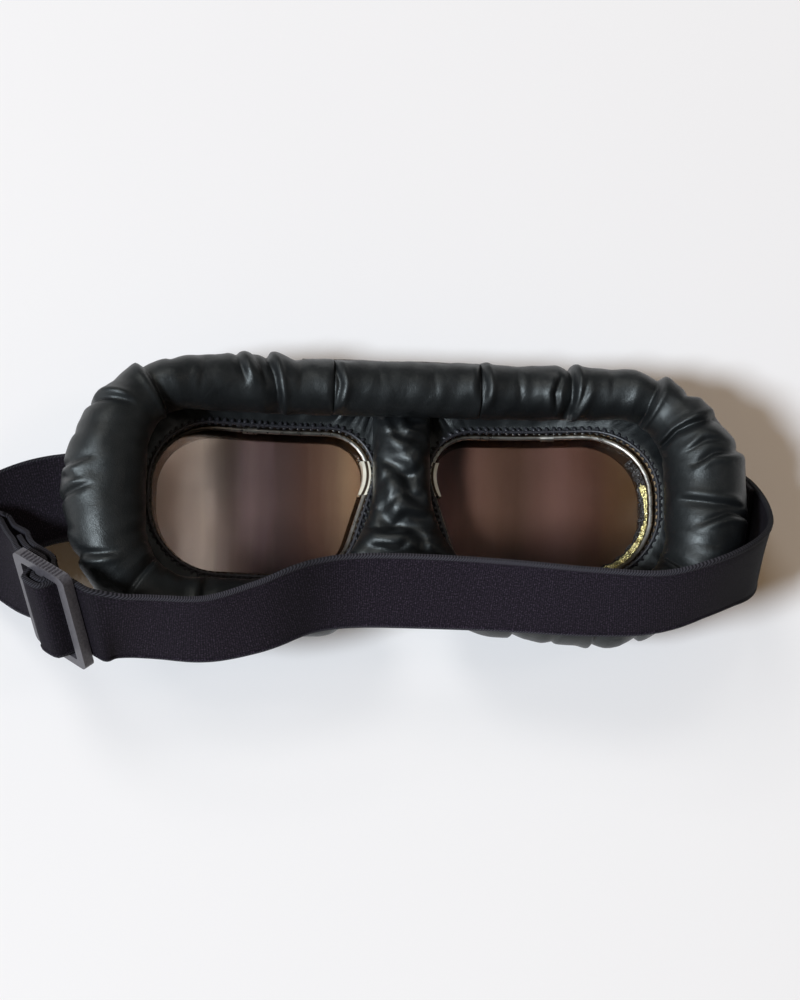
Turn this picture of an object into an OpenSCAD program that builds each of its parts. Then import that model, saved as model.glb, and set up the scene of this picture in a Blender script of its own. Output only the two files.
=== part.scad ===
// Folding aviator goggles with a padded leather mask and an elastic head strap.
// They lie face down: the front frames touch the table at z = 0, the padded face side is up,
// +X runs to the right eye and +Y to the brow. The origin is on the table under the nose hinge.
// The strap loop has flopped over towards the cheeks and leans on the padded roll.

/* [Eye openings] */
// Width of one eye opening in the leather
eye_w = 65; // [60:0.5:70]
// Height of one eye opening in the leather
eye_h = 44; // [40:0.5:46]
// Leather between the two eye openings at its narrowest
nose_gap = 17; // [15:0.5:20]
// Corner radius of an eye opening at the temple
temple_corner_r = 19.5; // [15:0.5:20]
// Corner radius of an eye opening beside the brow of the nose
brow_corner_r = 13; // [10:0.5:15]
// Corner radius of an eye opening beside the nostril
nostril_corner_r = 16; // [12:0.5:18]
// How far the nostril corner is cut back from the nose
nostril_cut = 5; // [3:0.5:8]

/* [Metal frames] */
// Depth of a frame from its front lip to its rear edge
frame_depth = 9; // [8.6:0.1:10]
// Wall thickness of a frame
frame_wall = 1.2; // [1:0.1:1.6]
// How far the frame wall stands outside the eye opening
frame_step = 0.5; // [0.4:0.1:0.8]
// Thickness of the front lip
lip_t = 1.2; // [1:0.1:1.6]
// How far the front lip covers the lens, inside the eye opening
lip_cover = 2.2; // [1.5:0.1:3]
// Radius of the wrap of each frame round the face
wrap_r = 120; // [110:5:200]
// Distance from the nose to the line on which each frame touches the table
wrap_x = 22; // [15:1:30]

/* [Lenses] */
// Thickness of a lens
lens_t = 2; // [1.5:0.1:2.2]
// Thickness of the brass strip that holds a lens against the lip
seat_strip_t = 0.6; // [0.4:0.1:0.6]
// Height of the brass strip
seat_strip_h = 3.3; // [2.5:0.1:3.4]

/* [Retaining wires] */
// Diameter of the wire ring behind a lens
wire_d = 1.4; // [1.2:0.1:1.5]
// Distance of the wire's centre inside the edge of the eye opening
wire_inset = 0.6; // [0.5:0.05:0.8]
// Height of the wire's centre above the front of the frame
wire_h = 7.95; // [7.8:0.05:8.1]
// Length of the crimped ferrule that joins the wire's ends
ferrule_l = 4; // [3:0.5:5]

/* [Nose hinge] */
// Diameter of the hinge pin
pin_d = 1.8; // [1.4:0.1:2.2]
// Outer diameter of the hinge knuckles
knuckle_d = 4; // [3.6:0.1:5]
// Length of the three knuckles together
hinge_h = 12; // [10:0.5:14]
// Distance of the hinge's middle above the middle of the eyes
hinge_y = 8; // [5:0.5:9]
// Height of the hinge pin above the table
hinge_z = 6; // [5:0.1:7]
// Thickness of the hinge leaves
leaf_t = 1; // [0.8:0.1:1.2]

/* [Temple loops] */
// Diameter of the wire of the strap loops
loop_wire_d = 2; // [1.6:0.1:2.4]
// Clear length of a strap loop, across the strap
loop_w = 27; // [26:0.5:30]
// Distance between the two long legs of a strap loop
loop_reach = 8.5; // [7.5:0.5:10]
// Distance of a loop's pivot outside the frame
pivot_out = 8.8; // [8:0.1:10]
// Height of a loop's pivot above the table
pivot_z = 14; // [13:0.5:15]
// Width of a temple bracket
bracket_w = 20; // [16:1:22]
// Diameter of the bracket rivets
rivet_d = 1.6; // [1.2:0.1:2]

/* [Leather mask] */
// Thickness of the mask leather
leather_t = 1.6; // [1.2:0.1:1.8]
// Width of the padded mask beyond the temple edge of an eye opening
mask_temple = 23.5; // [23:0.5:26]
// Width of the padded mask above an eye opening
mask_brow = 18; // [17:0.5:22]
// Width of the padded mask below an eye opening
mask_cheek = 20.5; // [19:0.5:24]
// Thickness of the stitched edge cord round an eye opening
stitch_d = 0.9; // [0.7:0.1:1.1]

/* [Padded roll] */
// Diameter of the padded roll at the brow
brow_roll_d = 16.4; // [14:0.2:17]
// Diameter of the padded roll at the temples
temple_roll_d = 23.4; // [20:0.2:24]
// Diameter of the padded roll at the cheeks
cheek_roll_d = 17.8; // [15:0.2:18.4]
// Diameter of the padded roll where it ends beside the nose
nose_roll_d = 11; // [9:0.5:12]
// Height of the middle of the roll above the table at the brow
roll_z = 24.5; // [24:0.5:27]
// Length of the smooth roll over the bridge of the nose
bridge_w = 42; // [36:1:44]
// Gap between the roll over the bridge and its neighbours
roll_gap = 0.6; // [0.4:0.1:1]
// Depth of a sewn pleat as a share of the roll's radius
pleat_depth = 0.17; // [0.05:0.01:0.2]
// Half length of a pleat along the roll
pleat_w = 2.6; // [2:0.1:3.4]

/* [Nose pad] */
// Length of the nose pad from the brow to the nostrils
nose_pad_l = 39; // [34:0.5:39.5]
// Thickness of the nose pad at its crown
nose_pad_t = 9; // [6:0.5:11]

/* [Head strap] */
// Width of the elastic strap
strap_w = 25; // [20:0.5:25.5]
// Thickness of the elastic strap
strap_t = 1.6; // [1.2:0.1:1.8]
// Gap between two layers of the strap
layer_gap = 0.35; // [0.25:0.05:0.5]
// Length of the sewn end beyond the right temple loop
sewn_end = 20; // [15:1:24]

/* [Strap slider] */
// Length of the slider along the strap
slider_l = 22.6; // [21:0.2:25]
// Width of the slider across the strap
slider_w = 31; // [30:0.5:34]
// Thickness of the slider
slider_t = 3; // [2.5:0.1:3.5]
// Width of the slider's middle bar
slider_bar = 3; // [2.4:0.1:3.4]
// Width of each of the slider's two slots
slider_slot = 6.6; // [6.4:0.1:7]
// Distance of the slider's middle bar from the left temple loop, along the strap
slider_from_loop = 72; // [55:1:90]
// Distance between two of the grip ribs on the slider's two short sides
rib_pitch = 1.4; // [1.2:0.1:2.4]

/* [Hidden] */
right = 1;
left = -1;
hair = 0.01;
tall = 60;
fit_gap = 0.05;
seat_gap = 0.1;
soft_gap = 0.3;
leather_gap = 0.5;

// The heights of the pieces of one eye, measured along the wrapped frame from its front
lens_h0 = lip_t + seat_gap;
lens_h1 = lens_h0 + lens_t;
strip_h0 = lens_h1 + seat_gap;
strip_h1 = strip_h0 + seat_strip_h;
leather_h0 = frame_depth + 0.2;
leather_h1 = leather_h0 + leather_t;
frame_out = frame_step + frame_wall;
lens_out = frame_step - seat_gap;

// The four corner circles of an eye opening, as [x, y, radius]: brow, two temple, nostril
temple_r = min(temple_corner_r, eye_h / 2 - 1);
eye_circles = [
    [nose_gap / 2 + brow_corner_r, eye_h / 2 - brow_corner_r, brow_corner_r],
    [nose_gap / 2 + eye_w - temple_r, eye_h / 2 - temple_r, temple_r],
    [nose_gap / 2 + eye_w - temple_r, temple_r - eye_h / 2, temple_r],
    [nose_gap / 2 + nostril_cut + nostril_corner_r, nostril_corner_r - eye_h / 2, nostril_corner_r]
];

// The same for the middle line of the padded roll and the outer edge of the mask leather
roll_x = nose_gap / 2 + eye_w + mask_temple - temple_roll_d / 2;
roll_y_brow = eye_h / 2 + mask_brow - brow_roll_d / 2;
roll_y_cheek = cheek_roll_d / 2 - mask_cheek - eye_h / 2;
roll_corner_r = 24;
mask_nose_x = 4;
mask_brow_r = 10;
mask_nostril_x = 8;
mask_nostril_r = 20;
roll_circles = [
    [mask_nose_x + mask_brow_r, roll_y_brow - mask_brow_r, mask_brow_r],
    [roll_x - roll_corner_r, roll_y_brow - roll_corner_r, roll_corner_r],
    [roll_x - roll_corner_r, roll_y_cheek + roll_corner_r, roll_corner_r],
    [mask_nostril_x + mask_nostril_r, roll_y_cheek + mask_nostril_r, mask_nostril_r]
];
wrap_follow = 0.55;
cheek_lift = 2;
roll_end_angle = -150;
roll_end_drop = 6.5;
tip_l = 9;
nose_leather_h = leather_h1 + 0.8;
cavity_share = 0.72;

// Pleats of the left and right roll, in mm along the roll from the bridge
pleats_left = [9.5, 20, 30, 48, 60, 79, 90, 114, 135, 158];
pleats_right = [12, 27.5, 47, 58, 74, 91, 112, 142, 164];

// Places across the goggles of a temple loop's inner and outer leg
pivot_x = nose_gap / 2 + eye_w + frame_out + pivot_out;
loop_x = pivot_x + loop_reach;
loop_r = loop_wire_d / 2;
loop_bend_r = 2.4;
knuckle_gap = 0.15;
claw_h = 10;
claw_reach = 2.4;
claw_t = 0.9;
claw_foot_h = 5.6;
claw_hook_h = wire_h + wire_d / 2 + 0.2;
flange_h0 = 2.5;
flange_h1 = 7.6;
ferrule_r = 1.05;
rivet_head_t = 0.7;
rivet_margin = 2.782523;
rivet_turn = asin((bracket_w / 2 - rivet_margin - eye_circles[1][1]) / temple_r);
rivet_h = 5.7;
pad_h0 = 1.5;
pad_root_h = 2.1;

// Radius of the strap's middle line round the outer leg of a temple loop
turn_r = loop_r + soft_gap + strap_t / 2;

// Points of the strap's middle line round the head loop, from the right temple loop to the left
// one, as [x, y, z, tilt of the strap's width out of the table's plane]
strap_points = [
    [loop_x, 0, pivot_z - turn_r, 0],
    [loop_x + 5.6, -0.5, 12.5, 5],
    [loop_x + 9.2, -4.4, 19.5, 21],
    [loop_x + 9.8, -11, 30, 35],
    [loop_x + 6.6, -18, 41, 47],
    [loop_x - 0.5, -23.4, 49, 54],
    [loop_x - 12.5, -28.9, 54, 56],
    [loop_x - 26.5, -32.7, 53, 55],
    [48, -32.5, 49.5, 50],
    [26, -30.9, 47, 47],
    [4, -30.1, 47, 45],
    [-16, -30.1, 47, 45],
    [-29, -32.1, 47, 46],
    [-42, -37.3, 46.5, 47],
    [-56, -40.9, 46, 52],
    [-loop_x + 22.5, -40.6, 46, 55],
    [-loop_x + 6.5, -39.6, 46.6, 56],
    [-loop_x - 3, -33.9, 38.9, 57],
    [-loop_x - 11.5, -27.5, 29, 52],
    [-loop_x - 20, -21, 19.5, 38],
    [-loop_x - 26.5, -13, 14.2, 24],
    [-loop_x - 22, -6.5, 12.6, 11],
    [-loop_x - 11, -1.6, 12, 4],
    [-loop_x, 0, pivot_z - turn_r, 0]
];
strap_step = 4.2;
return_slack = 1.1;

// Outlines built from corner circles and the lines that touch them, clockwise from the brow
function descend(angle, top) = angle > top + 0.001 ? descend(angle - 360, top) : angle;
function touch_angle(a, b) =
    atan2(b[1] - a[1], b[0] - a[0]) + acos((a[2] - b[2]) / norm([b[0] - a[0], b[1] - a[1]]));
function rim(c, angle) = [c[0] + c[2] * cos(angle), c[1] + c[2] * sin(angle)];
function touch_angles(c) =
    let (a0 = touch_angle(c[0], c[1]))
    let (a1 = descend(touch_angle(c[1], c[2]), a0))
    let (a2 = descend(touch_angle(c[2], c[3]), a1))
    let (a3 = descend(touch_angle(c[3], c[0]), a2))
    [a0, a1, a2, a3, a0 - 360];
function line_points(c, d, angle, n) =
    [for (i = [1 : n - 1]) concat(rim(c, angle) * (1 - i / n) + rim(d, angle) * (i / n), angle)];
function arc_points(c, a0, a1, n) =
    [for (i = [0 : n]) let (a = a0 + (a1 - a0) * i / n) concat(rim(c, a), a)];
function outline(c, arc_n, line_n) =
    let (a = touch_angles(c))
    [for (k = [0 : 3])
        each concat(
            line_points(c[k], c[(k + 1) % 4], a[k], k == 1 ? 2 : line_n),
            arc_points(c[(k + 1) % 4], a[k], a[k + 1], arc_n)
        )];
function pushed(p, d) = [p[0] + d * cos(p[2]), p[1] + d * sin(p[2])];
function mix(a, b, t) = a + (b - a) * t;
function clamp01(t) = max(0, min(1, t));
function eased(t) = let (u = clamp01(t)) u * u * (3 - 2 * u);

// Height above the table of the surface that lies h behind the front of the wrapped frame
function wrapped(x, h) = wrap_r - sqrt(pow(wrap_r - h, 2) - pow(abs(x) - wrap_x, 2));

// A closed solid through rings of points. Each ring turns from the outward side to the top.
function side_faces(rows, n, closed, first) =
    [for (i = [0 : rows - (closed ? 1 : 2)], j = [0 : n - 1])
        let (
            a = first + i * n + j,
            b = first + i * n + (j + 1) % n,
            c = first + ((i + 1) % rows) * n + (j + 1) % n,
            d = first + ((i + 1) % rows) * n + j
        )
        each [[a, d, c], [a, c, b]]];
function fan(first, n, flip) =
    [for (j = [1 : n - 2]) flip ? [first, first + j + 1, first + j] : [first, first + j, first + j + 1]];
function reversed(faces) = [for (f = faces) [f[2], f[1], f[0]]];
function flat_list(rings) = [for (r = rings) each r];

module loft(rings, closed = false) {
    n = len(rings[0]);
    rows = len(rings);
    caps = closed ? [] : concat(fan(0, n, false), fan((rows - 1) * n, n, true));
    polyhedron(points = flat_list(rings), faces = concat(side_faces(rows, n, closed, 0), caps));
}

// A tube open at both ends, with half as many sides inside as outside
module sleeve(outer, inner) {
    n = len(outer[0]);
    m = len(inner[0]);
    rows = len(outer);
    start = rows * n;
    last_out = (rows - 1) * n;
    last_in = start + (len(inner) - 1) * m;
    near = [for (k = [0 : m - 1])
        each [
            [start + k, 2 * k, 2 * k + 1],
            [start + k, 2 * k + 1, start + (k + 1) % m],
            [start + (k + 1) % m, 2 * k + 1, (2 * k + 2) % n]
        ]];
    far = [for (k = [0 : m - 1])
        each [
            [last_out + 2 * k, last_in + k, last_out + 2 * k + 1],
            [last_out + 2 * k + 1, last_in + k, last_in + (k + 1) % m],
            [last_out + 2 * k + 1, last_in + (k + 1) % m, last_out + (2 * k + 2) % n]
        ]];
    polyhedron(
        points = concat(flat_list(outer), flat_list(inner)),
        faces = concat(
            side_faces(rows, n, false, 0),
            reversed(side_faces(len(inner), m, false, start)),
            near,
            far
        )
    );
}

// Slices of the wrapped frame: rings between two outlines and two heights
eye_fine = outline(eye_circles, 16, 2);
eye_coarse = outline(eye_circles, 9, 5);

module eye_area(d) {
    polygon([for (p = eye_fine) pushed(p, d)]);
}

module wrapped_slab(h0, h1) {
    reach = 80;
    translate([wrap_x, reach, wrap_r])
        rotate([90, 0, 0])
            difference() {
                cylinder(h = 2 * reach, r = wrap_r - h0, $fn = 240);
                translate([0, 0, -1])
                    cylinder(h = 2 * reach + 2, r = wrap_r - h1, $fn = 240);
            }
}

module eye_ring(d_out, d_in, h0, h1) {
    intersection() {
        translate([0, 0, -1])
            linear_extrude(tall)
                difference() {
                    eye_area(d_out);
                    eye_area(d_in);
                }
        wrapped_slab(h0, h1);
    }
}

module eye_plate(d_out, h0, h1) {
    intersection() {
        translate([0, 0, -1])
            linear_extrude(tall)
                eye_area(d_out);
        wrapped_slab(h0, h1);
    }
}

module sided(side) {
    mirror([side == left ? 1 : 0, 0, 0])
        children();
}

// A box in the nose wall, from the hinge to just inside the eye opening
module nose_band(y_size, h0, h1) {
    eye_in = nose_gap / 2 + 6;
    intersection() {
        translate([0, hinge_y - y_size / 2, -1])
            cube([eye_in, y_size, tall]);
        wrapped_slab(h0, h1);
    }
}

module rivet_places() {
    for (s = [-1, 1])
        translate([eye_circles[1][0], s * eye_circles[1][1], 0])
            rotate([0, 0, s * rivet_turn])
                translate([temple_r, 0, wrapped(nose_gap / 2 + eye_w, rivet_h)])
                    rotate([0, 90, 0])
                        children();
}

// Metal front frames, lenses and what holds the lenses
module front_frame(side) {
    color("#c9a54a")
        sided(side)
            difference() {
                union() {
                    eye_ring(frame_out, -lip_cover, 0, lip_t);
                    eye_ring(frame_out, frame_step, lip_t - hair, frame_depth);
                }
                nose_band(claw_h + 2 * seat_gap, claw_foot_h - seat_gap, claw_foot_h + claw_t + seat_gap);
                rivet_places()
                    cylinder(h = 2 * frame_out, d = rivet_d, $fn = 32);
            }
}

module lens(side) {
    color("#6e5349")
        sided(side)
            eye_plate(lens_out, lens_h0, lens_h1);
}

module lens_seat_strip(side) {
    color("#d9b54e")
        sided(side)
            difference() {
                eye_ring(lens_out, lens_out - seat_strip_t, strip_h0, strip_h1);
                nose_band(claw_h + 4 * seat_gap, claw_foot_h - 2 * seat_gap, frame_depth);
            }
}

wire_sides = 10;
wire_path = [for (p = eye_coarse)
    let (q = pushed(p, -wire_inset))
    [q[0], q[1], wrapped(q[0], wire_h), p[2]]];

module ring_cord(path, r, sides) {
    loft(
        [for (p = path)
            [for (j = [0 : sides - 1])
                let (a = 360 * j / sides)
                [p[0] + r * cos(a) * cos(p[3]), p[1] + r * cos(a) * sin(p[3]), p[2] + r * sin(a)]]],
        closed = true
    );
}

module retaining_wire(side) {
    color("#d8cfae")
        sided(side)
            ring_cord(wire_path, wire_d / 2, wire_sides);
}

module wire_ferrule(side) {
    a = wire_path[2];
    b = wire_path[3];
    slope = atan2(b[2] - a[2], b[0] - a[0]);
    color("#e2d6b0")
        sided(side)
            translate([(a[0] + b[0]) / 2, (a[1] + b[1]) / 2, (a[2] + b[2]) / 2])
                rotate([0, 90 - slope, 0])
                    difference() {
                        cylinder(h = ferrule_l, r = ferrule_r, center = true, $fn = 48);
                        cylinder(h = ferrule_l + 1, r = wire_d / 2 + fit_gap, center = true, $fn = 48);
                    }
}

// A crumpled strip of brass foil packed beside the right lens at the temple
module packing_foil(side) {
    foil_w = 2.2;
    foil_t = 0.35;
    foil_h = 7.1;
    n = 30;
    c = eye_circles[1];
    d = eye_circles[2];
    stations = [for (i = [0 : n])
        let (angle = mix(40, -80, i / n), r = temple_r - wire_inset - wire_d / 2 - seat_gap)
        [(angle > 0 ? c : d)[0], (angle > 0 ? c : d)[1], angle, r, i]];
    color("#e3c65b")
        sided(side)
            loft(
                [for (s = stations)
                    let (
                        inner = s[3] - foil_w - 0.35 * sin(s[4] * 97),
                        lift = 0.28 * sin(s[4] * 131),
                        x1 = s[0] + s[3] * cos(s[2]),
                        y1 = s[1] + s[3] * sin(s[2]),
                        x0 = s[0] + inner * cos(s[2]),
                        y0 = s[1] + inner * sin(s[2])
                    )
                    [
                        [x1, y1, wrapped(x1, foil_h) + lift],
                        [x1, y1, wrapped(x1, foil_h + foil_t) + lift],
                        [x0, y0, wrapped(x0, foil_h + foil_t) - lift],
                        [x0, y0, wrapped(x0, foil_h) - lift]
                    ]]
            );
}

// Nose hinge: each leaf is brazed to its frame, and its claw hooks round the retaining wire
module knuckle(y0, y1) {
    translate([0, y1, hinge_z])
        rotate([90, 0, 0])
            cylinder(h = y1 - y0, d = knuckle_d, $fn = 48);
}

module hinge_leaf(side) {
    third = hinge_h / 3;
    y0 = hinge_y - hinge_h / 2;
    spans = side == left
        ? [[y0, y0 + third - knuckle_gap], [y0 + 2 * third + knuckle_gap, y0 + hinge_h]]
        : [[y0 + third, y0 + 2 * third]];
    plate_x = knuckle_d / 2 + 0.5;
    flange_in = frame_out + fit_gap;
    flange_out = flange_in + leaf_t;
    color("#d9c48a")
        sided(side)
            difference() {
                union() {
                    intersection() {
                        eye_ring(flange_out, flange_in, flange_h0, flange_h1);
                        nose_band(claw_h, 0, frame_depth);
                    }
                    intersection() {
                        eye_ring(flange_out, -claw_reach, claw_foot_h, claw_foot_h + claw_t);
                        nose_band(claw_h, 0, frame_depth);
                    }
                    intersection() {
                        eye_ring(-claw_reach + claw_t, -claw_reach, claw_foot_h, claw_hook_h + claw_t);
                        nose_band(claw_h, 0, 2 * frame_depth);
                    }
                    intersection() {
                        eye_ring(-seat_gap, -claw_reach, claw_hook_h, claw_hook_h + claw_t);
                        nose_band(claw_h, 0, 2 * frame_depth);
                    }
                    difference() {
                        union() {
                            for (s = spans)
                                translate([0, s[0], hinge_z - leaf_t / 2])
                                    cube([nose_gap / 2, s[1] - s[0], leaf_t]);
                            translate([plate_x, hinge_y - claw_h / 2, hinge_z - leaf_t / 2])
                                cube([nose_gap / 2, claw_h, leaf_t]);
                        }
                        translate([0, 0, -1])
                            linear_extrude(tall)
                                eye_area(flange_in + leaf_t / 2);
                    }
                    for (s = spans)
                        knuckle(s[0], s[1]);
                }
                translate([0, y0 - 1, hinge_z])
                    rotate([-90, 0, 0])
                        cylinder(h = hinge_h + 2, d = pin_d + 2 * fit_gap, $fn = 48);
            }
}

module hinge_pin() {
    head_r = pin_d / 2 + 0.6;
    head_t = 0.7;
    length = hinge_h + 2 * seat_gap;
    color("#d8cfae")
        translate([0, hinge_y + length / 2, hinge_z])
            rotate([90, 0, 0])
                rotate_extrude($fn = 48)
                    polygon([
                        [0, -head_t], [head_r * 0.6, -head_t], [head_r, -head_t * 0.4], [head_r, 0],
                        [pin_d / 2, 0], [pin_d / 2, length], [head_r, length],
                        [head_r, length + head_t * 0.4], [head_r * 0.6, length + head_t], [0, length + head_t]
                    ]);
}

// Temple brackets with the rolled knuckle in which a strap loop swings
module temple_bracket(side) {
    barrel_d = loop_wire_d + 2.4;
    arm_t = 1.1;
    pad_in = frame_out + fit_gap;
    half = bracket_w / 2;
    root_x = pivot_x - pivot_out - 5;
    root_z = wrapped(nose_gap / 2 + eye_w + frame_out, pad_root_h);
    color("#b8963f")
        sided(side)
            difference() {
                union() {
                    intersection() {
                        eye_ring(pad_in + leaf_t, pad_in, pad_h0, flange_h1);
                        translate([eye_circles[1][0], -half, -1])
                            cube([eye_w, bracket_w, tall]);
                    }
                    difference() {
                        translate([0, half, 0])
                            rotate([90, 0, 0])
                                linear_extrude(bracket_w)
                                    polygon([
                                        [root_x, root_z - arm_t / 2],
                                        [pivot_x, pivot_z - arm_t / 2],
                                        [pivot_x, pivot_z + arm_t / 2],
                                        [root_x, root_z + arm_t / 2]
                                    ]);
                        translate([0, 0, -1])
                            linear_extrude(tall)
                                eye_area(pad_in + leaf_t / 2);
                    }
                    translate([pivot_x, half, pivot_z])
                        rotate([90, 0, 0])
                            cylinder(h = bracket_w, d = barrel_d, $fn = 48);
                }
                translate([pivot_x, half + 1, pivot_z])
                    rotate([90, 0, 0])
                        cylinder(h = bracket_w + 2, r = loop_r + fit_gap, $fn = 48);
                rivet_places()
                    cylinder(h = 2 * pivot_out, d = rivet_d, $fn = 32);
            }
}

module bracket_rivets(side) {
    shank = frame_out + fit_gap + leaf_t - frame_step;
    shank_r = rivet_d / 2 - fit_gap;
    color("#d9b54e")
        sided(side)
            rivet_places()
                translate([0, 0, frame_step])
                    rotate_extrude($fn = 32)
                        polygon([
                            [0, 0], [shank_r, 0], [shank_r, shank], [rivet_d * 0.85, shank],
                            [rivet_d * 0.75, shank + rivet_head_t * 0.6],
                            [rivet_d * 0.4, shank + rivet_head_t], [0, shank + rivet_head_t]
                        ]);
}

module strap_loop(side) {
    leg = loop_w + 2 * loop_r - 2 * loop_bend_r;
    arm = loop_reach - 2 * loop_bend_r;
    color("#cfc6a6")
        sided(side)
            translate([pivot_x, 0, pivot_z]) {
                for (x = [0, loop_reach])
                    translate([x, leg / 2, 0])
                        rotate([90, 0, 0])
                            cylinder(h = leg, r = loop_r, $fn = 48);
                for (s = [-1, 1]) {
                    translate([loop_bend_r, s * (leg / 2 + loop_bend_r), 0])
                        rotate([0, 90, 0])
                            cylinder(h = arm, r = loop_r, $fn = 48);
                    for (far = [0, 1])
                        translate([loop_bend_r + far * arm, s * leg / 2, 0])
                            rotate([0, 0, far == 0 ? (s == 1 ? 90 : 180) : (s == 1 ? 0 : 270)])
                                rotate_extrude(angle = 90, $fn = 48)
                                    translate([loop_bend_r, 0])
                                        circle(r = loop_r, $fn = 32);
                }
            }
}

// The padded roll: its radius and height at each point of its middle line
roll_angles = touch_angles(roll_circles);

function roll_radius(angle) =
    angle > 0 ? mix(temple_roll_d, brow_roll_d, pow(sin(min(angle, 90)), 2)) / 2
    : angle > -90 ? mix(temple_roll_d, cheek_roll_d, pow(sin(angle), 2)) / 2
    : mix(cheek_roll_d, nose_roll_d, clamp01((-90 - angle) / (-90 - roll_end_angle))) / 2;

function roll_height(x, angle) =
    roll_z + wrap_follow * wrapped(x, 0) + cheek_lift * clamp01(-angle / 90)
    - roll_end_drop * eased((-90 - angle) / (-90 - roll_end_angle));

function line_len(k) =
    norm(rim(roll_circles[k + 1], roll_angles[k]) - rim(roll_circles[k], roll_angles[k]));
function arc_len(k) = roll_circles[k][2] * (roll_angles[k - 1] - roll_angles[k]) * PI / 180;
roll_start = bridge_w / 2 + roll_gap / 2 - roll_circles[0][0];
roll_runs = [line_len(0) - roll_start, arc_len(1), line_len(1), arc_len(2), line_len(2),
    roll_circles[3][2] * (roll_angles[2] - roll_end_angle) * PI / 180];
roll_total = roll_runs * [1, 1, 1, 1, 1, 1];

// A point of the middle line of the roll as [x, y, angle of the outward side]
function along_run(k, s) =
    k % 2 == 0
        ? let (
            j = k / 2,
            a = rim(roll_circles[j], roll_angles[j]),
            b = rim(roll_circles[j + 1], roll_angles[j]),
            t = (s + (k == 0 ? roll_start : 0)) / norm(b - a)
        )
        concat(a + (b - a) * t, roll_angles[j])
        : let (
            c = roll_circles[(k + 1) / 2],
            angle = roll_angles[(k - 1) / 2] - s / c[2] * 180 / PI
        )
        concat(rim(c, angle), angle);
function along_roll(s, k = 0) =
    k == len(roll_runs) - 1 || s <= roll_runs[k] ? along_run(k, s) : along_roll(s - roll_runs[k], k + 1);

function pinch(s, pleats) =
    1 - pleat_depth * min(1, sum_of([for (p = pleats) exp(-pow((s - p) / pleat_w, 2))]));
function sum_of(v, i = 0) = i == len(v) ? 0 : v[i] + sum_of(v, i + 1);

function roll_ring(s, share, sides) =
    let (
        p = along_roll(s),
        z = roll_height(p[0], p[2]),
        round_end = mix(0.4, 1, sqrt(clamp01((roll_total - s) / tip_l))),
        r = share * roll_radius(p[2]) * round_end
    )
    [for (j = [0 : sides - 1])
        let (a = 360 * j / sides)
        [p[0] + r * cos(a) * cos(p[2]), p[1] + r * cos(a) * sin(p[2]), z + r * sin(a)]];

// Rings at each pleat and on both sides of it, and about every 6 mm between the pleats
function roll_stops(pleats) =
    concat(
        [0],
        [for (k = [0 : len(pleats)])
            let (
                a = k == 0 ? 0 : pleats[k - 1] + pleat_w,
                b = k == len(pleats) ? roll_total : pleats[k] - pleat_w,
                n = max(1, round((b - a) / (k == len(pleats) ? 3.4 : 6)))
            )
            each concat(
                [for (i = [1 : n]) mix(a, b, i / n)],
                k == len(pleats) ? [] : [pleats[k], pleats[k] + pleat_w]
            )]
    );

roll_sides = 18;
foam_rows = 24;

module padded_roll(side) {
    pleats = side == left ? pleats_left : pleats_right;
    color("#242c2b")
        sided(side)
            sleeve(
                [for (s = roll_stops(pleats)) roll_ring(s, pinch(s, pleats), roll_sides)],
                [for (i = [0 : foam_rows])
                    roll_ring(roll_total * i / foam_rows, cavity_share, roll_sides / 2)]
            );
}

module roll_foam(side) {
    share = cavity_share - soft_gap / (nose_roll_d / 2);
    color("#d8d3c4")
        sided(side)
            loft([for (i = [0 : foam_rows]) roll_ring(roll_total * i / foam_rows, share, roll_sides / 2)]);
}

// The smooth roll over the bridge of the nose, drawn in a little at both ends
function bridge_ring(x, share, sides) =
    let (r = share * brow_roll_d / 2, z = roll_z + wrap_follow * wrapped(max(abs(x), wrap_x), 0))
    [for (j = [0 : sides - 1])
        let (a = 360 * j / sides)
        [x, roll_y_brow + r * cos(a), z + r * sin(a)]];
bridge_half = (bridge_w - roll_gap) / 2;

module bridge_roll() {
    rows = 12;
    inner_rows = 4;
    color("#242c2b")
        sleeve(
            [for (i = [0 : rows])
                let (t = 2 * i / rows - 1)
                bridge_ring(t * bridge_half, 1 - 0.1 * pow(abs(t), 6), roll_sides)],
            [for (i = [0 : inner_rows])
                bridge_ring((2 * i / inner_rows - 1) * bridge_half, cavity_share, roll_sides / 2)]
        );
}

module bridge_foam() {
    share = cavity_share - soft_gap / (nose_roll_d / 2);
    color("#d8d3c4")
        loft([for (x = [-bridge_half, 0, bridge_half]) bridge_ring(x, share, roll_sides / 2)]);
}

// The mask leather: a sheet from the edge of the eye opening over the frame's rear edge to the
// foot of the padded roll
function leather_rise(x, angle) =
    let (
        end = roll_end_angle,
        at = max(angle, end),
        on_roll = roll_height(x, at) - roll_radius(at) - leather_gap,
        on_brow = roll_height(x, 90) - brow_roll_d / 2 - leather_gap,
        low = nose_leather_h
    )
    angle > end ? on_roll
    : angle > end - 40 ? mix(on_roll, low, eased((end - angle) / 40))
    : angle > -240 ? low
    : mix(low, on_brow, eased((-240 - angle) / 30));

module mask_leather(side) {
    inner = eye_coarse;
    outer = outline(roll_circles, 9, 5);
    over = frame_out + 0.6;
    color("#1d2423")
        sided(side)
            loft(
                [for (i = [0 : len(inner) - 1])
                    let (
                        a = pushed(inner[i], 0),
                        b = pushed(inner[i], over),
                        c = [outer[i][0], outer[i][1]],
                        top = leather_rise(c[0], outer[i][2])
                    )
                    [
                        [c[0], c[1], top - leather_t],
                        [c[0], c[1], top],
                        [b[0], b[1], wrapped(b[0], leather_h1)],
                        [a[0], a[1], wrapped(a[0], leather_h1)],
                        [a[0], a[1], wrapped(a[0], leather_h0)],
                        [b[0], b[1], wrapped(b[0], leather_h0)]
                    ]],
                closed = true
            );
}

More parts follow.
